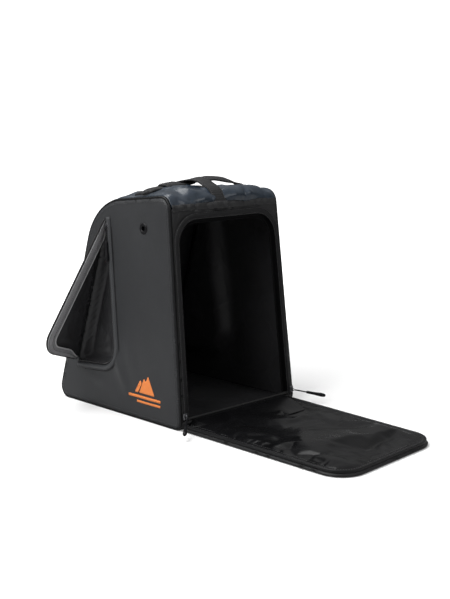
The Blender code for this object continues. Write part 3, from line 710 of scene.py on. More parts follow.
def cord(name, points, radius, look, closed=False, wobble=0.0):
    """A round cord through points, as a mesh."""
    ahead = directions(points, closed)
    angles = np.linspace(0, 2 * math.pi, CORD_SIDES, endpoint=False)
    side = np.cross(ahead[0], (0.3, 0.5, 0.8))
    rings = []
    for i, point in enumerate(points):
        side = unit(side - ahead[i] * (side @ ahead[i]))
        other = np.cross(ahead[i], side)
        size = radius * (1 + wobble * math.sin(i * 1.7) + wobble * math.sin(i * 0.61))
        rings.append(point + size * (np.cos(angles)[:, None] * side + np.sin(angles)[:, None] * other))
    faces = grid_faces(len(points), CORD_SIDES, closed, tube=True)
    if not closed:
        last = (len(points) - 1) * CORD_SIDES
        faces += [range(CORD_SIDES)[::-1], range(last, last + CORD_SIDES)]
    uv = grid_uv(angles * radius, lengths_along(points)).reshape(-1, 2)
    return as_object(name, np.vstack(rings), faces, look, uv)


def repeated(name, shape, faces, line, spacing, look):
    """One small shape repeated along a line on a surface, x along it and z out of it, in one mesh."""
    both = resampled(np.hstack(line), spacing)
    points, out = both[:, :3], both[:, 3:]
    ahead = directions(points)
    out = units(out - ahead * (out * ahead).sum(1)[:, None])
    axes = np.stack([ahead, np.cross(out, ahead), out], 1)
    world = points[:, None, :] + np.array(shape) @ axes
    all_faces = [[i + k * len(shape) for i in f] for k in range(len(points)) for f in faces]
    return as_object(name, world.reshape(-1, 3), all_faces, look)


def stitches(name, line, spacing=0.0042, size=0.0027):
    """A row of sewn stitches: short rounded threads that dip at both ends."""
    shape = []
    for x, scale, sink in ((-0.5, 0.3, -1.0), (-0.32, 1.0, 0.0), (0.32, 1.0, 0.0), (0.5, 0.3, -1.0)):
        for k in range(STITCH_SIDES):
            angle = 2 * math.pi * k / STITCH_SIDES
            shape.append((x * size, THREAD_RADIUS * scale * math.cos(angle),
                          THREAD_RADIUS * (scale * math.sin(angle) + sink)))
    faces = [face[::-1] for face in grid_faces(4, STITCH_SIDES, tube=True)]
    faces += [range(STITCH_SIDES), range(3 * STITCH_SIDES, 4 * STITCH_SIDES)[::-1]]
    return repeated(name, shape, faces, line, spacing, THREAD)


def teeth(name, face, path, height, spacing=0.0021, size=(0.0013, 0.0024, 0.0011)):
    """One half of a zip's chain."""
    x, y, top = size[0] / 2, size[1] / 2, size[2]
    narrow, near, far = x * 0.7, y * 0.9, y * 0.6
    shape = [(-x, -y, 0), (x, -y, 0), (x, y, 0), (-x, y, 0)]
    shape += [(-narrow, -near, top), (narrow, -near, top), (narrow, far, top), (-narrow, far, top)]
    faces = [(3, 2, 1, 0), (4, 5, 6, 7), (0, 1, 5, 4), (1, 2, 6, 5), (2, 3, 7, 6), (3, 0, 4, 7)]
    return repeated(name, shape, faces, face.line(path, height), spacing, TEETH)


def on(body, slot, piece, *stands_for):
    """Puts a piece on a CAD body and hides the CAD nodes it stands for; the slot argument is not used."""
    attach(piece, body)
    if stands_for:
        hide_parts(*stands_for)
    return piece


# ---- cloth simulation
WAITING = []
CLOTH = {
    "quality": 6, "mass": 0.2, "tension_stiffness": 8.0, "compression_stiffness": 8.0, "shear_stiffness": 4.0,
    "tension_damping": 8, "compression_damping": 8, "shear_damping": 8, "air_damping": 4,
    "vertex_group_mass": "pinned", "pin_stiffness": 5,
}


def let_settle(obj, pinned, growth, cap, bending, low=-0.001):
    """Queues a skin for the cloth run: it is cut larger than its frame by growth, and held where pinned."""
    WAITING.append((obj, pinned, growth, cap, bending, low))


def vertex_rows(mesh, kind):
    """A mesh's vertex places or normals, as rows."""
    values = np.zeros(len(mesh.vertices) * 3)
    mesh.vertices.foreach_get(kind, values)
    return values.reshape(-1, 3)


def run_cloth():
    """Runs every queued skin together, then keeps each one's shape within its cap."""
    scene = bpy.context.scene
    scene.frame_start, scene.frame_end = 1, CLOTH_FRAMES
    for obj, pinned, growth, _, bending, _ in WAITING:
        group = obj.vertex_groups.new(name="pinned")
        group.add([int(i) for i in np.flatnonzero(pinned)], 1.0, "REPLACE")
        cloth = obj.modifiers.new("cloth", "CLOTH")
        for key, value in CLOTH.items():
            setattr(cloth.settings, key, value)
        cloth.settings.bending_stiffness = bending
        cloth.settings.shrink_min = -growth
        cloth.settings.shrink_max = -growth
        cloth.settings.effector_weights.gravity = 0.0
        cloth.collision_settings.use_collision = False
        cloth.collision_settings.use_self_collision = False
        cloth.point_cache.frame_start = 1
        cloth.point_cache.frame_end = CLOTH_FRAMES
    for number in range(1, CLOTH_FRAMES + 1):
        scene.frame_set(number)
    for obj, pinned, _, cap, _, low in WAITING:
        settled = obj.evaluated_get(bpy.context.evaluated_depsgraph_get()).to_mesh()
        before, normals = vertex_rows(obj.data, "co"), vertex_rows(obj.data, "normal")
        moved = np.nan_to_num(vertex_rows(settled, "co") - before)
        out = (moved * normals).sum(1)
        in_plane = moved - out[:, None] * normals
        size = np.linalg.norm(in_plane, axis=1)[:, None] + 1e-9
        in_plane *= np.minimum(1, cap * 0.5 / size)
        result = before + in_plane + np.clip(out, low, cap)[:, None] * normals
        result[pinned] = before[pinned]
        obj.modifiers.clear()
        obj.data.vertices.foreach_set("co", result.reshape(-1))
        obj.data.update()
        obj.vertex_groups.clear()
    scene.frame_set(1)


# ---- side panels
def side_height(seed):
    """A side panel's soft surface: drawn down at its seams, gently uneven, with folds under the pocket."""

    def height(flat, edge):
        lift = 0.0016 * (1 - np.exp(-edge / 0.007))
        lift += 0.0011 * noise_at(flat, 0.11, seed) * smooth(edge / 0.04)
        lift += 0.0005 * noise_at(flat, 0.035, seed + 3) * smooth(edge / 0.02)
        for centre, angle, size, width, amount in (
            ((-0.010, 0.085), 1.05, 0.075, 0.010, 0.0036),
            ((-0.035, 0.120), 1.25, 0.060, 0.012, 0.0014),
            ((0.050, 0.052), 0.15, 0.060, 0.010, 0.0016),
            ((-0.120, 0.330), 1.45, 0.080, 0.014, 0.0009),
        ):
            along = np.array([math.cos(angle), math.sin(angle)])
            offset = flat - np.array(centre)
            lift += (amount * np.exp(-((offset @ perpendicular(along)) / width) ** 2)
                     * smooth(1 - np.abs(offset @ along) / size) * smooth(edge / 0.012))
        gather = np.sin(flat[:, 0] * 560 + flat[:, 1] * 480) * np.exp(-edge / 0.006)
        return lift + 0.00016 * gather

    return height


def side_panel(side):
    name = SIDE_NAMES[side]
    face = side_face(side)
    angles = np.linspace(0, 2 * math.pi, 40, endpoint=False)
    vent = np.array(VENT) + VENT_RIM * np.stack([np.cos(angles), np.sin(angles)], 1)
    loops = [side_loop(0.0040), pocket_outline(), resampled(vent, 0.001, closed=True)]
    skin = cloth_panel("side_skin_" + name, face, loops, 0.0055, side_height(5 + side), CHARCOAL, 0.0030)
    on("bag", "coated_fabric", skin, "side_panel_" + name)
    rim = resampled(side_loop(0.0021), 0.005, closed=True)
    trim = cord("side_piping_" + name, face.place(rim, -0.0019), 0.0022, PIPING, closed=True, wobble=0.012)
    on("bag", "piping", trim, "piping_" + name)
    line = face.line(resampled(side_loop(0.0092), EDGE_STEP, closed=True), 0.0014)
    on("bag", "coated_fabric", stitches("side_stitches_" + name, line, 0.0045))


# ---- wrap panels
def held_rows(start, end, spacing, seams):
    """Marks a wrap skin's points at its sides and in the rows nearest its seams, as shares of its length."""
    held = np.zeros(wrap_grid(start, end, spacing), bool)
    held[:, [0, -1]] = True
    for seam in seams:
        held[np.argmin(np.abs(np.linspace(0, 1, len(held)) - seam))] = True
    return held.reshape(-1)


def top_panel():
    start, end = WRAP.front_end + 0.003, WRAP.back_start

    def lift(flat, share, length):
        edge = np.minimum((1 - np.abs(share)) * 0.075, np.minimum(length - start, end - length))
        hold = smooth(edge / 0.010)
        for foot in STRAP_FEET:
            hold = hold * (1 - np.exp(-((flat - np.array(foot)) ** 2).sum(1) / 0.020 ** 2))
        hold *= 1 - 0.75 * smooth((length - 0.500) / 0.050)
        hold *= 1 - 0.50 * smooth((flat[:, 0] - 0.050) / 0.040)
        crown = 0.0034 * smooth((1 - np.abs(share)) / 0.35)
        large, small = facets(flat, 3, 0.034), facets(flat, 4, 0.015)
        return 0.0006 + (crown + 0.0165 * (large - 0.25) + 0.0060 * (small - 0.4)) * hold

    skin = wrap_skin("top_skin", start, end, NAVY, lift, TOP_SPACING)
    let_settle(skin, held_rows(start, end, TOP_SPACING, (0.0, 1.0)), 0.008, 0.0008, 8.0, low=-0.0006)
    return skin


def back_panel():
    start, end = BACK_SPAN
    seams = (0.0, *BACK_SEAMS, 1.0)

    def lift(flat, share, length):
        along = (length - start) / (end - start)
        side_edge = (1 - np.abs(share)) * 0.13
        crown = smooth(side_edge / 0.030)
        crown *= np.min([smooth(np.abs(along - seam) / 0.09) for seam in seams], axis=0)
        return 0.0008 + 0.0065 * crown + 0.0008 * noise_at(flat, 0.04, 8) * smooth(side_edge / 0.02)

    skin = wrap_skin("back_cushion", start, end, CHARCOAL, lift, BACK_SPACING)
    let_settle(skin, held_rows(start, end, BACK_SPACING, seams), 0.012, 0.0030, 0.6)
    return skin


def back_seams():
    start, end = BACK_SPAN
    for number, seam in enumerate(BACK_SEAMS):
        for row, shift in enumerate((-0.0035, 0.0035)):
            y, z = WRAP.at(start + (end - start) * seam + shift, 0.0024)
            reach = float(half_width(z)) - 0.010
            points = np.array([(x, y, z) for x in np.linspace(-reach, reach, 30)])
            normals = np.repeat([unit((0, 1, BACK_LEAN))], 30, 0)
            on("bag", "coated_fabric", stitches(f"back_seam_{number}_{row}", (points, normals)))


def base_panel():
    start, end = WRAP.back_end - 0.0034, WRAP.total + 0.0010

    def lift(flat, share, length):
        turned_up = (length < WRAP.base_start + 0.004) | (length > WRAP.total - 0.030)
        return np.where(turned_up, 0.0004 + 0.0003 * noise_at(flat, 0.03, 4), 0.0)

    skin = wrap_skin("base_skin", start, end, BLACK, lift, 0.007, thickness=0.0035)
    on("bag", "frame_fabric", skin, "base_panel")


# ---- front frame and its zip
def front_frame():
    top = WRAP.front_end + WRAP.points[0][1] - 0.0002
    outer = [(side * (half_width(height) - 0.0041), height)
             for side, height in ((-1, LEG_FOOT), (-1, top), (1, top), (1, LEG_FOOT))]
    loop = np.vstack([outer, opening_path(LEG_FOOT)[::-1]])

    def height(flat, edge):
        lift = 0.0010 * (1 - np.exp(-edge / 0.004))
        header = smooth((flat[:, 1] - 0.350) / 0.02)
        pleats = facets(flat, 6, 0.011, (1.0, 2.8))
        pleats *= 0.45 + 0.55 * np.exp(-((flat[:, 0] + 0.02) / 0.060) ** 2)
        lift += 0.0100 * header * (pleats - 0.36) * smooth((edge - 0.0035) / 0.005)
        lift += 0.0007 * noise_at(flat * np.array([1.0, 0.4]), 0.02, 7) * smooth(edge / 0.004)
        return lift

    skin = cloth_panel("front_frame_skin", FRONT, [loop], 0.0036, height, BLACK, 0.0030)
    on("bag", "frame_fabric", skin, "front_frame")
    hem_half = 0.0060

    def hem_lift(flat, share, length):
        middle = (length - WRAP.front_end) / hem_half
        over_strap = smooth((LONG_WIDTH / 2 + 0.004 - np.abs(share * 0.134 - LONG_X)) / 0.004)
        pulls = 0.0060 * facets(flat, 9, 0.010, (1.0, 2.5)) - 0.0020
        return 0.0016 - 0.0006 * middle ** 2 + pulls + 0.0030 * over_strap

    start, end = WRAP.front_end - hem_half, WRAP.front_end + hem_half
    on("bag", "frame_fabric", wrap_skin("header_hem", start, end, BLACK, hem_lift, 0.0024, thickness=0.0010))
    rim = resampled(opening_path(LEG_FOOT + 0.001), EDGE_STEP)
    section = [(0.0062, 0.0016), (0.0050, 0.0024), (0.0028, 0.0027), (0.0008, 0.0032), (-0.0012, 0.0036),
               (-0.0030, 0.0030), (-0.0036, 0.0016)]
    on("bag", "zip_chain", ribbon("front_zip_tape", FRONT, rim, section, TAPE, 0.0010), "front_zip_fixed")
    on("bag", "zip_chain", teeth("front_zip_teeth", FRONT, sideways(rim, -0.0042), 0.0016))
    line = FRONT.line(sideways(rim, 0.0047), 0.0030)
    on("bag", "zip_chain", stitches("front_zip_stitches", line, 0.0040))
    # the gutter and the binding inside the rim take the tape that is darkened as painted shade
    section = [(0.0010, -0.0012), (-0.0006, -0.0040), (-0.0030, -0.0058), (-0.0080, -0.0066),
               (-0.0110, -0.0060)]
    on("bag", "frame_fabric", ribbon("opening_gutter", FRONT, rim, section, INNER_TAPE_PAINTED_SHADE))
    line = FRONT.place(sideways(rim, -0.0116), -0.0060)
    on("bag", "glossy_lining", cord("opening_binding", line, 0.0011, INNER_TAPE_PAINTED_SHADE, wobble=0.03))


def sill():
    """The low strip under the opening, rolled over the hinge line."""
    width = opening_half_width(0.02) - 0.0006
    x = np.linspace(-width, width, 60)
    section = [(-0.0040, 0.0170), (-0.0044, 0.0205), (-0.0026, 0.0224), (0.0004, 0.0220), (0.0012, 0.0195),
               (0.0008, 0.0172)]
    rows = []
    for out, up in section:
        flat = np.stack([x, np.full(len(x), up)], 1)
        rows.append(FRONT.place(flat, out + 0.0005 * noise_at(flat, 0.02, 3)))
    strip = grid_skin("sill_roll", np.stack(rows, 0), grid_uv(x, [s[1] for s in section]), BLACK)
    on("bag", "frame_fabric", thick(strip, 0.0008, offset=0.0), "front_sill")


# ---- inside of the bag
def inside_lining():
    hollow = pocket_outline(-0.004)
    for side in (LEFT, RIGHT):

        def height(flat, edge, side=side):
            near = distance_to(flat, [hollow])
            signed = np.where(inside(flat, hollow), near, -near)
            bulge = 0.0225 * smooth((signed + 0.034) / 0.037)
            return -0.0062 - bulge - 0.0020 * noise_at(flat, 0.06, 20 + side) * smooth(edge / 0.03)

        name = "lining_" + SIDE_NAMES[side]
        skin = cloth_panel(name, side_face(side), [side_loop(0.0095)], 0.0075, height, LINING)
        skin.data.flip_normals()
        on("bag", "glossy_lining", skin)

    def lift(flat, share, length):
        fold = creases(flat, 31, 26, 0.0030, 0.030, 0.09)
        return -0.0090 - np.abs(fold) * smooth((1 - np.abs(share)) / 0.15)

    start, end = WRAP.front_end - 0.004, WRAP.back_end - 0.012
    wrap = wrap_skin("lining_wrap", start, end, LINING, lift, 0.009, margin=0.0075)
    wrap.data.flip_normals()
    on("bag", "glossy_lining", wrap)
    half, front, back = 0.1385, -0.168, 0.150
    loop = outline([(-half, front), (half, front), (half, back), (-half, back)], [0.006] * 4)
    level = Face((0, 0, 0.0080), (1, 0, 0), (0, 1, 0), (0, 0, 1))

    def soft(flat, edge):
        return 0.0006 + 0.0012 * smooth(edge / 0.02) + 0.0006 * noise_at(flat, 0.05, 14)

    on("bag", "glossy_lining", cloth_panel("lining_floor", level, [loop], 0.009, soft, LINING))


# ---- side pockets
def pocket(side):
    name = SIDE_NAMES[side]
    face = side_face(side)

    def depth(flat, edge):
        hollow = 0.0205 * smooth((edge - 0.0015) / 0.010)
        folds = facets(flat, 41 + side, 0.020, (1.0, 1.7))
        return -0.0034 - hollow + 0.0075 * folds * smooth((edge - 0.008) / 0.02)

    liner = cloth_panel("pocket_bag_" + name, face, [pocket_outline(-0.0022)], 0.0040, depth, LINING)
    on("bag", "glossy_lining", liner, "pocket_liner_" + name)
    edge = pocket_edge()
    section = [(-0.0026, 0.0006), (-0.0030, 0.0030), (-0.0045, 0.0046), (-0.0068, 0.0050), (-0.0090, 0.0048),
               (-0.0112, 0.0042), (-0.0126, 0.0028), (-0.0130, 0.0008)]
    hem = ribbon("pocket_hem_" + name, face, edge, section, FACING)
    on("bag", "frame_fabric", hem, "pocket_facing_" + name)
    # painted shade: a thin black cord beside the welt stands in for the shade of its groove
    line = face.place(sideways(edge, -0.0144)[4:-4], 0.0008)
    on("bag", "frame_fabric", cord("pocket_painted_shade_line_" + name, line, 0.0011, BLACK))
    section = [(0.0004, 0.0002), (-0.0012, 0.0014), (-0.0034, 0.0014)]
    tape = ribbon("pocket_tape_" + name, face, edge, section, TAPE, 0.0007)
    on("bag", "zip_chain", tape, "pocket_zip_" + name)
    chain = teeth("pocket_teeth_" + name, face, edge, 0.0008, 0.0019, (0.0012, 0.0020, 0.0010))
    on("bag", "zip_chain", chain)
    line = face.line(sideways(edge, -0.0108), 0.0048)
    on("bag", "frame_fabric", stitches("pocket_stitches_" + name, line, 0.0040))


def flap(side):
    """The pocket's flap: a puffed outer panel, a glossy lining and the sewn band round its free edge."""
    name = SIDE_NAMES[side]
    body = "flap_" + name
    face = side_face(side)
    inner_face = Face(face.origin, face.a, face.b, -face.out)

    def puffed(flat, edge):
        return 0.0002 + 0.0034 * smooth(edge / 0.022) + 0.0007 * noise_at(flat, 0.03, 17 + side)

    def wrinkled(flat, edge):
        folds = facets(flat, 51 + side, 0.024, (1.0, 1.4))
        return 0.0022 + (0.0004 + 0.0050 * folds) * smooth((edge - 0.012) / 0.020)

    loops = [pocket_outline(0.0009)]
    shell = cloth_panel("flap_outer_" + name, face, loops, 0.0045, puffed, CHARCOAL, 0.0022)
    loops = [pocket_outline(0.0052)]
    lining = cloth_panel("flap_inner_" + name, inner_face, loops, 0.0042, wrinkled, LINING, 0.0008)
    edge = pocket_edge(0.009)
    share = np.linspace(0, 1, len(edge))
    taper = smooth(share / 0.10) * smooth((1 - share) / 0.10)
    section = [(0.0012, 0.0016), (0.0022, 0.0030), (0.0058, 0.0044), (0.0096, 0.0052), (0.0136, 0.0056),
               (0.0170, 0.0054)]
    low_across, low_height = section[0]
    columns = [
        inner_face.place(sideways(edge, low_across + (across - low_across) * (0.35 + 0.65 * taper)),
                         low_height + (height - low_height) * (0.3 + 0.7 * taper))
        for across, height in section
    ]
    uv = grid_uv([s[0] for s in section], lengths_along(edge))
    band = thick(grid_skin("flap_tape_" + name, np.stack(columns, 1), uv, BAND_PAINTED_LIGHTER), 0.0010, offset=0.0)
    trim = cord("flap_edge_" + name, face.place(sideways(edge, 0.0010), 0.0004), 0.0019, BLACK)
    line = sideways(edge, 0.0016)
    chain = teeth("flap_teeth_" + name, face, line, -0.0012, 0.0019, (0.0012, 0.0022, 0.0012))
    pieces = [
        on(body, "coated_fabric", shell, "flap_shell_" + name),
        on(body, "glossy_lining", lining, "flap_lining_" + name),
        on(body, "edge_band", band, "flap_band_" + name),
        on(body, "edge_band", cord("flap_binding_" + name, columns[-1], 0.0013, PALE_BINDING)),
        on(body, "zip_chain", trim),
        on(body, "zip_chain", chain, "flap_zip_" + name),
    ]
    for number, column in enumerate((1, 3)):
        normals = units(np.cross(np.gradient(columns[column], axis=0), columns[column + 1] - columns[column]))
        normals *= np.sign((normals @ inner_face.out).mean())
        line = (columns[column] + normals * 0.0008, normals)
        pieces.append(on(body, "edge_band", stitches(f"flap_stitches_{number}_{name}", line, 0.0036, 0.0023)))
    for piece in pieces:
        piece.data.transform(flap_turn(side))


# ---- the door, open as a mat
def laid_out(piece):
    """Stretches a mat piece along the slant it lies pulled out to."""
    axis = Vector(DOOR_STRETCH_AXIS).normalized()
    anchor = Vector((DOOR_STRETCH_FROM, HINGE[1], 0))
    stretch = Matrix.Scale(DOOR_STRETCH, 4, axis)
    piece.data.transform(Matrix.Translation(anchor) @ stretch @ Matrix.Translation(-anchor))
    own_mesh(piece)


def mat_pad():
    """The mat's padded lining, before it settles."""
    loop = door_outline(0.0070)

    def soft(flat, edge):
        folds = 0.0110 * facets(flat, 62, 0.070) + 0.0036 * facets(flat, 63, 0.028) - 0.0058
        dimple = -0.0022 * np.exp(-(np.linalg.norm(flat - np.array([-0.045, 0.262]), axis=1) / 0.012) ** 2)
        return -0.0026 + 0.0006 * smooth(edge / 0.012) + smooth(edge / 0.032) * (folds + dimple)

    pad = cloth_panel("mat_lining", DOOR, [loop], 0.0046, soft, MAT)
    flat = np.array([(v.co.x, HINGE[1] - v.co.y) for v in pad.data.vertices])
    let_settle(pad, distance_to(flat, [loop]) < 0.0045, 0.014, 0.0035, 1.2, low=-0.0022)
    return pad


def door():
    under = Face(HINGE, (1, 0, 0), (0, -1, 0), (0, 0, -1))

    def rounded_rim(flat, edge):
        return -FLOOR_SIDE - 0.0016 * (1 - smooth(edge / 0.005))

    shell = cloth_panel("mat_underside", under, [door_outline()], 0.008, rounded_rim, BLACK, 0.0030)
    edge = door_edge()
    wall = [(0.0030, 0.0002), (0.0003, 0.0009), (-0.0002, 0.0026), (0.0010, 0.0040), (0.0026, 0.0044)]
    wall = [(across, FLOOR_SIDE + height) for across, height in wall]
    rim = [(0.0026, -0.0052), (0.0018, -0.0036), (0.0022, -0.0016), (0.0040, -0.0004), (0.0062, -0.0008),
           (0.0086, -0.0018), (0.0112, -0.0026)]
    chain = teeth("mat_teeth", DOOR, sideways(edge, 0.0022), FLOOR_SIDE + 0.0044, 0.0022)
    crest = cord("mat_piping", DOOR.place(sideways(edge, 0.0034), -0.0012), 0.0015, PIPING, wobble=0.02)
    pieces = [
        on("door", "frame_fabric", shell, "door_shell"),
        on("door", "frame_fabric", ribbon("mat_edge", DOOR, edge, wall, BLACK, 0.0006)),
        on("door", "zip_chain", chain, "door_zip"),
        on("door", "piping", ribbon("mat_rim", DOOR, edge, rim, TAPE, 0.0010), "door_rim"),
        on("door", "piping", crest),
    ]
    for number, (across, height) in enumerate(((0.0074, -0.0004), (0.0150, -0.0012))):
        line = DOOR.line(sideways(edge, across), height)
        pieces.append(on("door", "piping", stitches(f"mat_stitches_{number}", line, 0.0044)))
    for piece in pieces:
        laid_out(piece)


def door_bridge():
    """The cloth that joins the sill to the mat, bent down from the one to the other."""
    rows, columns = 24, 46
    points = np.zeros((rows, columns, 3))
    uv = np.zeros((rows, columns, 2))
    for r, share in enumerate(np.linspace(0, 1, rows)):
        out = -0.0004 + 0.070 * share
        drop = 0.0186 + (0.0058 - 0.0186) * smooth(share)
        width = opening_half_width(0.02) - 0.004 - 0.010 * smooth(share)
        x = np.linspace(-width, width, columns)
        ripple = noise_at(np.stack([x, np.full(columns, out * 0.5)], 1), 0.024, 23)
        tucked = smooth((np.abs(x) - width + 0.014) / 0.014)
        points[r, :, 0] = x
        points[r, :, 1] = HINGE[1] - out
        points[r, :, 2] = drop + 0.0016 * math.sin(math.pi * share) * ripple - (drop - 0.0030) * 0.75 * tucked
        uv[r, :, 0], uv[r, :, 1] = x, out
    bridge = thick(grid_skin("mat_bridge", points[:, ::-1], uv[:, ::-1], MAT, (0, 0, 1)), 0.0012)
    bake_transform(bridge)


# ---- carry handle
def line_normals(centre, across):
    normals = units(np.cross(directions(centre), across))
    return normals * np.sign(normals[:, 2].mean())


def strap(name, centre, across, out, width, thickness=0.0021):
    """Flat webbing along a line of points, with a slight hollow across it."""
    columns = np.linspace(-0.5, 0.5, 7)
    dish = 0.0006 * (2 * np.abs(columns)) ** 4
    points = (centre[:, None, :] + columns[None, :, None] * width * across[:, None, :]
              - dish[None, :, None] * out[:, None, :])
    uv = grid_uv(columns * width, lengths_along(centre))
    return thick(grid_skin(name, points, uv, WEBBING, out.mean(0)), thickness, offset=0.0)


def sewn_strap(name, line, width, *stands_for):
    """A strap with a row of stitches along each edge."""
    centre, across, out = line
    on("bag", "webbing", strap(name, *line, width), *stands_for)
    for number, side in enumerate((-1, 1)):
        edge = centre + across * side * (width / 2 - 0.0025) + out * 0.0010
        on("bag", "webbing", stitches(f"{name}_edge_{number}", (edge, out), 0.0040))


def patch(place, line, rows, half, height=0.0018):
    """An anchor patch over some of a strap's rows, sewn down with a boxed cross of stitches."""
    centre, across, out = (part[rows] for part in line)
    name = "anchor_patch_" + place
    cloth = strap(name, centre + out * height, across, out, half * 2, 0.0014)
    on("bag", "webbing", cloth, "handle_anchor_" + place)
    side = across[0] * (half - 0.0025)
    margin = (centre[-1] - centre[0]) * 0.10
    a, b = centre[0] + margin, centre[-1] - margin
    loop = np.array([a - side, b - side, b + side, a + side, a - side, b + side, a + side, b - side])
    loop += out.mean(0) * (height + 0.0010)
    normals = np.repeat([out.mean(0)], len(loop), 0)
    on("bag", "webbing", stitches(name + "_stitches", (loop, normals), 0.0032, 0.0022))


def handle():
    """The strap across the top, the strap along it and their anchor patches."""
    x = np.linspace(CROSS_ENDS[1], CROSS_ENDS[0], 92)
    centre = np.stack([x, CROSS_Y + 0.0012 * np.sin(x * 30), top_height(CROSS_Y) + eased(x, CROSS_RISE)], 1)
    across = units(np.stack([x * 0, x * 0 + 1, eased(x, CROSS_ROLL) - TOP_FALL], 1))
    cross = (centre, across, line_normals(centre, across))
    sewn_strap("strap_across", cross, CROSS_WIDTH, "handle_strap_cross")

    length = np.linspace(WRAP.front_end - 0.0050, WRAP.top_end + 0.075, 110)
    y, z = WRAP.at(length, eased(length - CROSSING, LONG_RISE))
    centre = np.stack([LONG_X + 0.0010 * np.sin(length * 40), y, z], 1)
    roll = LONG_ROLL * np.exp(-((length - CROSSING + 0.02) / 0.035) ** 2)
    across = units(np.stack([roll * 0 + 1, roll * 0, roll], 1))
    lengthways = (centre, across, line_normals(centre, across))
    sewn_strap("strap_lengthways", lengthways, LONG_WIDTH, "handle_strap_long", "handle_anchor_front")

    patch("left", cross, slice(-6, None), 0.0118)
    patch("right", cross, slice(0, 6), 0.0118)
    patch("back", lengthways, slice(-12, None), 0.0140)


def face_outwards(obj):
    """Turns a mesh's faces outwards."""
    shape = bmesh.new()
    shape.from_mesh(obj.data)
    bmesh.ops.recalc_face_normals(shape, faces=shape.faces)
    shape.to_mesh(obj.data)
    shape.free()
    obj.data.shade_smooth()


def grip():
    """The padded sleeve wrapped round the strap, gathered at both ends, closed by a sewn overlap."""
    rows, sides = 46, 30
    half_across, half_up = 0.0156, 0.0050
    x = np.linspace(*GRIP_ENDS, rows)
    middle = np.stack([x, np.full(rows, CROSS_Y), top_height(CROSS_Y) + eased(x, CROSS_RISE)], 1)
    roll = eased(x, CROSS_ROLL)
    pressed = 1 - 0.52 * smooth((x - LONG_X + LONG_WIDTH / 2 + 0.010) / 0.010)
    angles = 2 * math.pi * np.arange(sides) / sides
    points = np.zeros((rows, sides, 3))
    for r in range(rows):
        side = unit((0, 1, roll[r] - TOP_FALL))
        up = unit(np.cross((1, 0, CROSS_TILT), side))
        full = 0.80 + 0.20 * smooth(min(r, rows - 1 - r) / (rows - 1) / 0.07)
        for k, angle in enumerate(angles):
            c, s = math.cos(angle), math.sin(angle)
            squared = (abs(c) ** 3 + abs(s) ** 3) ** (-1 / 3)
            overlap = 0.0011 * smooth((math.sin(angle * 0.5 - 0.6) - 0.2) / 0.1)
            wrinkle = 0.0006 * noise.noise(Vector((x[r] * 40, c * 2, s * 2)))
            reach_across = (half_across + overlap) * full + wrinkle
            reach_up = (half_up + overlap) * full * pressed[r] + wrinkle
            points[r, k] = middle[r] + (side * reach_across * c + up * reach_up * s) * squared
    sleeve = grid_skin("grip_sleeve", points, grid_uv(angles * 0.012, x), GRIP, tube=True)
    face_outwards(sleeve)
    on("bag", "webbing", thick(sleeve, 0.0018), "handle_grip")
    for number, shift in enumerate((0.0075, -0.0075)):
        line = (middle + side * shift + up * 0.0061 * pressed[:, None])[2:-2]
        on("bag", "webbing", stitches(f"grip_stitches_{number}", (line, np.repeat([up], len(line), 0))))


# ---- the plain printed mark
def printed_mark():
    """A generic filled mountain range with two bars under it, printed low on the side panel."""
    skin = side_height(4)
    shapes = {
        "mark_peak_high": [(-0.108, 0.050), (-0.090, 0.084), (-0.084, 0.072), (-0.079, 0.078),
                           (-0.066, 0.050)],
        "mark_peak_low": [(-0.063, 0.050), (-0.073, 0.068), (-0.069, 0.074), (-0.054, 0.050)],
        "mark_bar_high": [(-0.124, 0.0405), (-0.124, 0.0455), (-0.038, 0.0455), (-0.038, 0.0405)],
        "mark_bar_low": [(-0.124, 0.0320), (-0.124, 0.0362), (-0.060, 0.0362), (-0.060, 0.0320)],
    }

    def height(flat, edge):
        return 0.0005 + skin(flat, np.full(len(flat), 0.03))

    for name, corners in shapes.items():
        loop = outline(corners, [0.0008] * len(corners))
        on("bag", "coated_fabric", cloth_panel(name, side_face(LEFT), [loop], 0.0030, height, PRINT, 0.0003))


# ---- CAD pieces that stay
def dress_cad():
    looks = {
        "vent_eyelet": RUBBER, "vent_washer": METAL, "door_slider": METAL, "pocket_slider": METAL,
        "door_pull": RUBBER, "pocket_pull": RUBBER, "base_board": BOARD, "back_board": BOARD,
    }
    for name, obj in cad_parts.items():
        for start, look in looks.items():
            if name.startswith(start):
                obj.data.materials.clear()
                obj.data.materials.append(look)
                obj.data.shade_smooth()


# ---- build
top_skin = top_panel()
back_skin = back_panel()
mat_skin = mat_pad()
door()
run_cloth()
on("bag", "tarpaulin", thick(top_skin, 0.0016), "top_panel")
on("bag", "coated_fabric", thick(back_skin, 0.0020, rounds=1), "back_panel")
on("door", "glossy_lining", thick(mat_skin, 0.0012, rounds=1), "door_lining")
laid_out(mat_skin)
for each_side in (LEFT, RIGHT):
    side_panel(each_side)
back_seams()
base_panel()
front_frame()
sill()
inside_lining()
for each_side in (LEFT, RIGHT):
    pocket(each_side)
    flap(each_side)
door_bridge()
handle()
grip()
printed_mark()
dress_cad()


# ---- studio
def area_light(name, place, target, size, power):
    data = bpy.data.lights.new(name, "AREA")
    data.shape = "RECTANGLE"
    data.size, data.size_y = size
    data.energy = power
    lamp = bpy.data.objects.new(name, data)
    bpy.context.scene.collection.objects.link(lamp)
    lamp.location = place
    lamp.rotation_euler = (Vector(target) - Vector(place)).to_track_quat("-Z", "Y").to_euler()


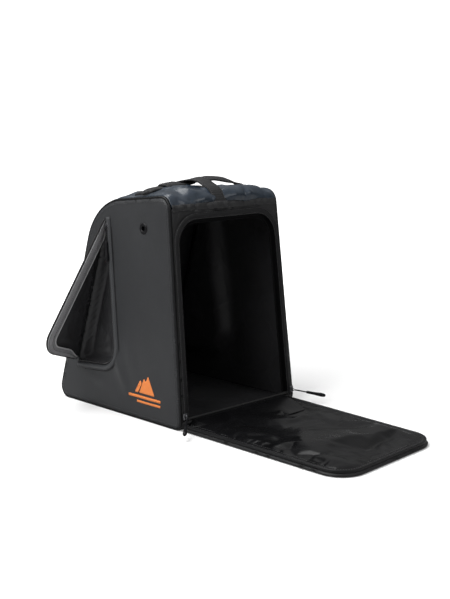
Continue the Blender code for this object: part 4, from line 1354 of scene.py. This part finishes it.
def studio_floor():
    """A pale floor that burns out to white away from the bag and keeps the soft contact shadows near it."""
    made, tree, shader = new_material("pale_floor")
    shader.inputs["Roughness"].default_value = 0.9
    shader.inputs["Specular IOR Level"].default_value = 0.0
    seen = node(tree, "LightPath").outputs["Is Camera Ray"]
    tree.links.new(mixed(tree, seen, [0.50] * 3, [0.90] * 3), shader.inputs["Base Color"])
    where = node(tree, "NewGeometry").outputs["Position"]
    away = node(tree, "VectorMath", {0: where, 1: (0.0, -0.15, 0.0)}, operation="DISTANCE").outputs["Value"]
    far = ranged(tree, away, 0.10, 1.0, 0.55, 0.95, interpolation_type="SMOOTHSTEP")
    shader.inputs["Emission Color"].default_value = (1, 1, 1, 1)
    tree.links.new(maths(tree, "MULTIPLY", far, seen), shader.inputs["Emission Strength"])
    reach = 30
    corners = [(-reach, -reach, 0), (reach, -reach, 0), (reach, reach, 0), (-reach, reach, 0)]
    as_object("studio_floor", corners, [(0, 1, 2, 3)], made)


def studio_sky():
    """A white sky, darker towards the horizon for everything but the camera's own view of it."""
    world = bpy.data.worlds.new("studio")
    world.use_nodes = True
    bpy.context.scene.world = world
    tree = world.node_tree
    seen = node(tree, "LightPath").outputs["Is Camera Ray"]
    upwards = node(tree, "SeparateXYZ", {0: node(tree, "TexCoord").outputs["Generated"]}).outputs["Z"]
    sky = ranged(tree, upwards, 0.07, 0.62, 0.0, 1.0)
    background = tree.nodes["Background"]
    background.inputs["Color"].default_value = (1, 1, 1, 1)
    tree.links.new(ranged(tree, seen, sky, 1.15, 0.0, 1.0), background.inputs["Strength"])


def camera():
    data = bpy.data.cameras.new("camera")
    data.lens = 65.97
    data.sensor_width = 36.0
    made = bpy.data.objects.new("camera", data)
    azimuth, elevation = math.radians(-44.62), math.radians(10.03)
    back_axis = Vector((math.sin(azimuth) * math.cos(elevation), -math.cos(azimuth) * math.cos(elevation),
                        math.sin(elevation)))
    right_axis = Vector((math.cos(azimuth), math.sin(azimuth), 0))
    placement = Matrix((right_axis, back_axis.cross(right_axis), back_axis)).transposed().to_4x4()
    placement.translation = (-1.382, -1.538, 0.559)
    made.matrix_world = placement
    bpy.context.scene.collection.objects.link(made)
    bpy.context.scene.camera = made


studio_floor()
studio_sky()
area_light("key", (-1.9, 0.1, 1.6), (0, 0, 0.22), (1.9, 1.3), 38)
area_light("top", (-0.3, 0.5, 2.1), (0, 0, 0.3), (2.0, 1.2), 36)
area_light("front", (0.5, -2.4, 1.5), (0, -0.2, 0.1), (1.6, 1.2), 12)
camera()
bpy.context.scene.view_settings.view_transform = "Standard"
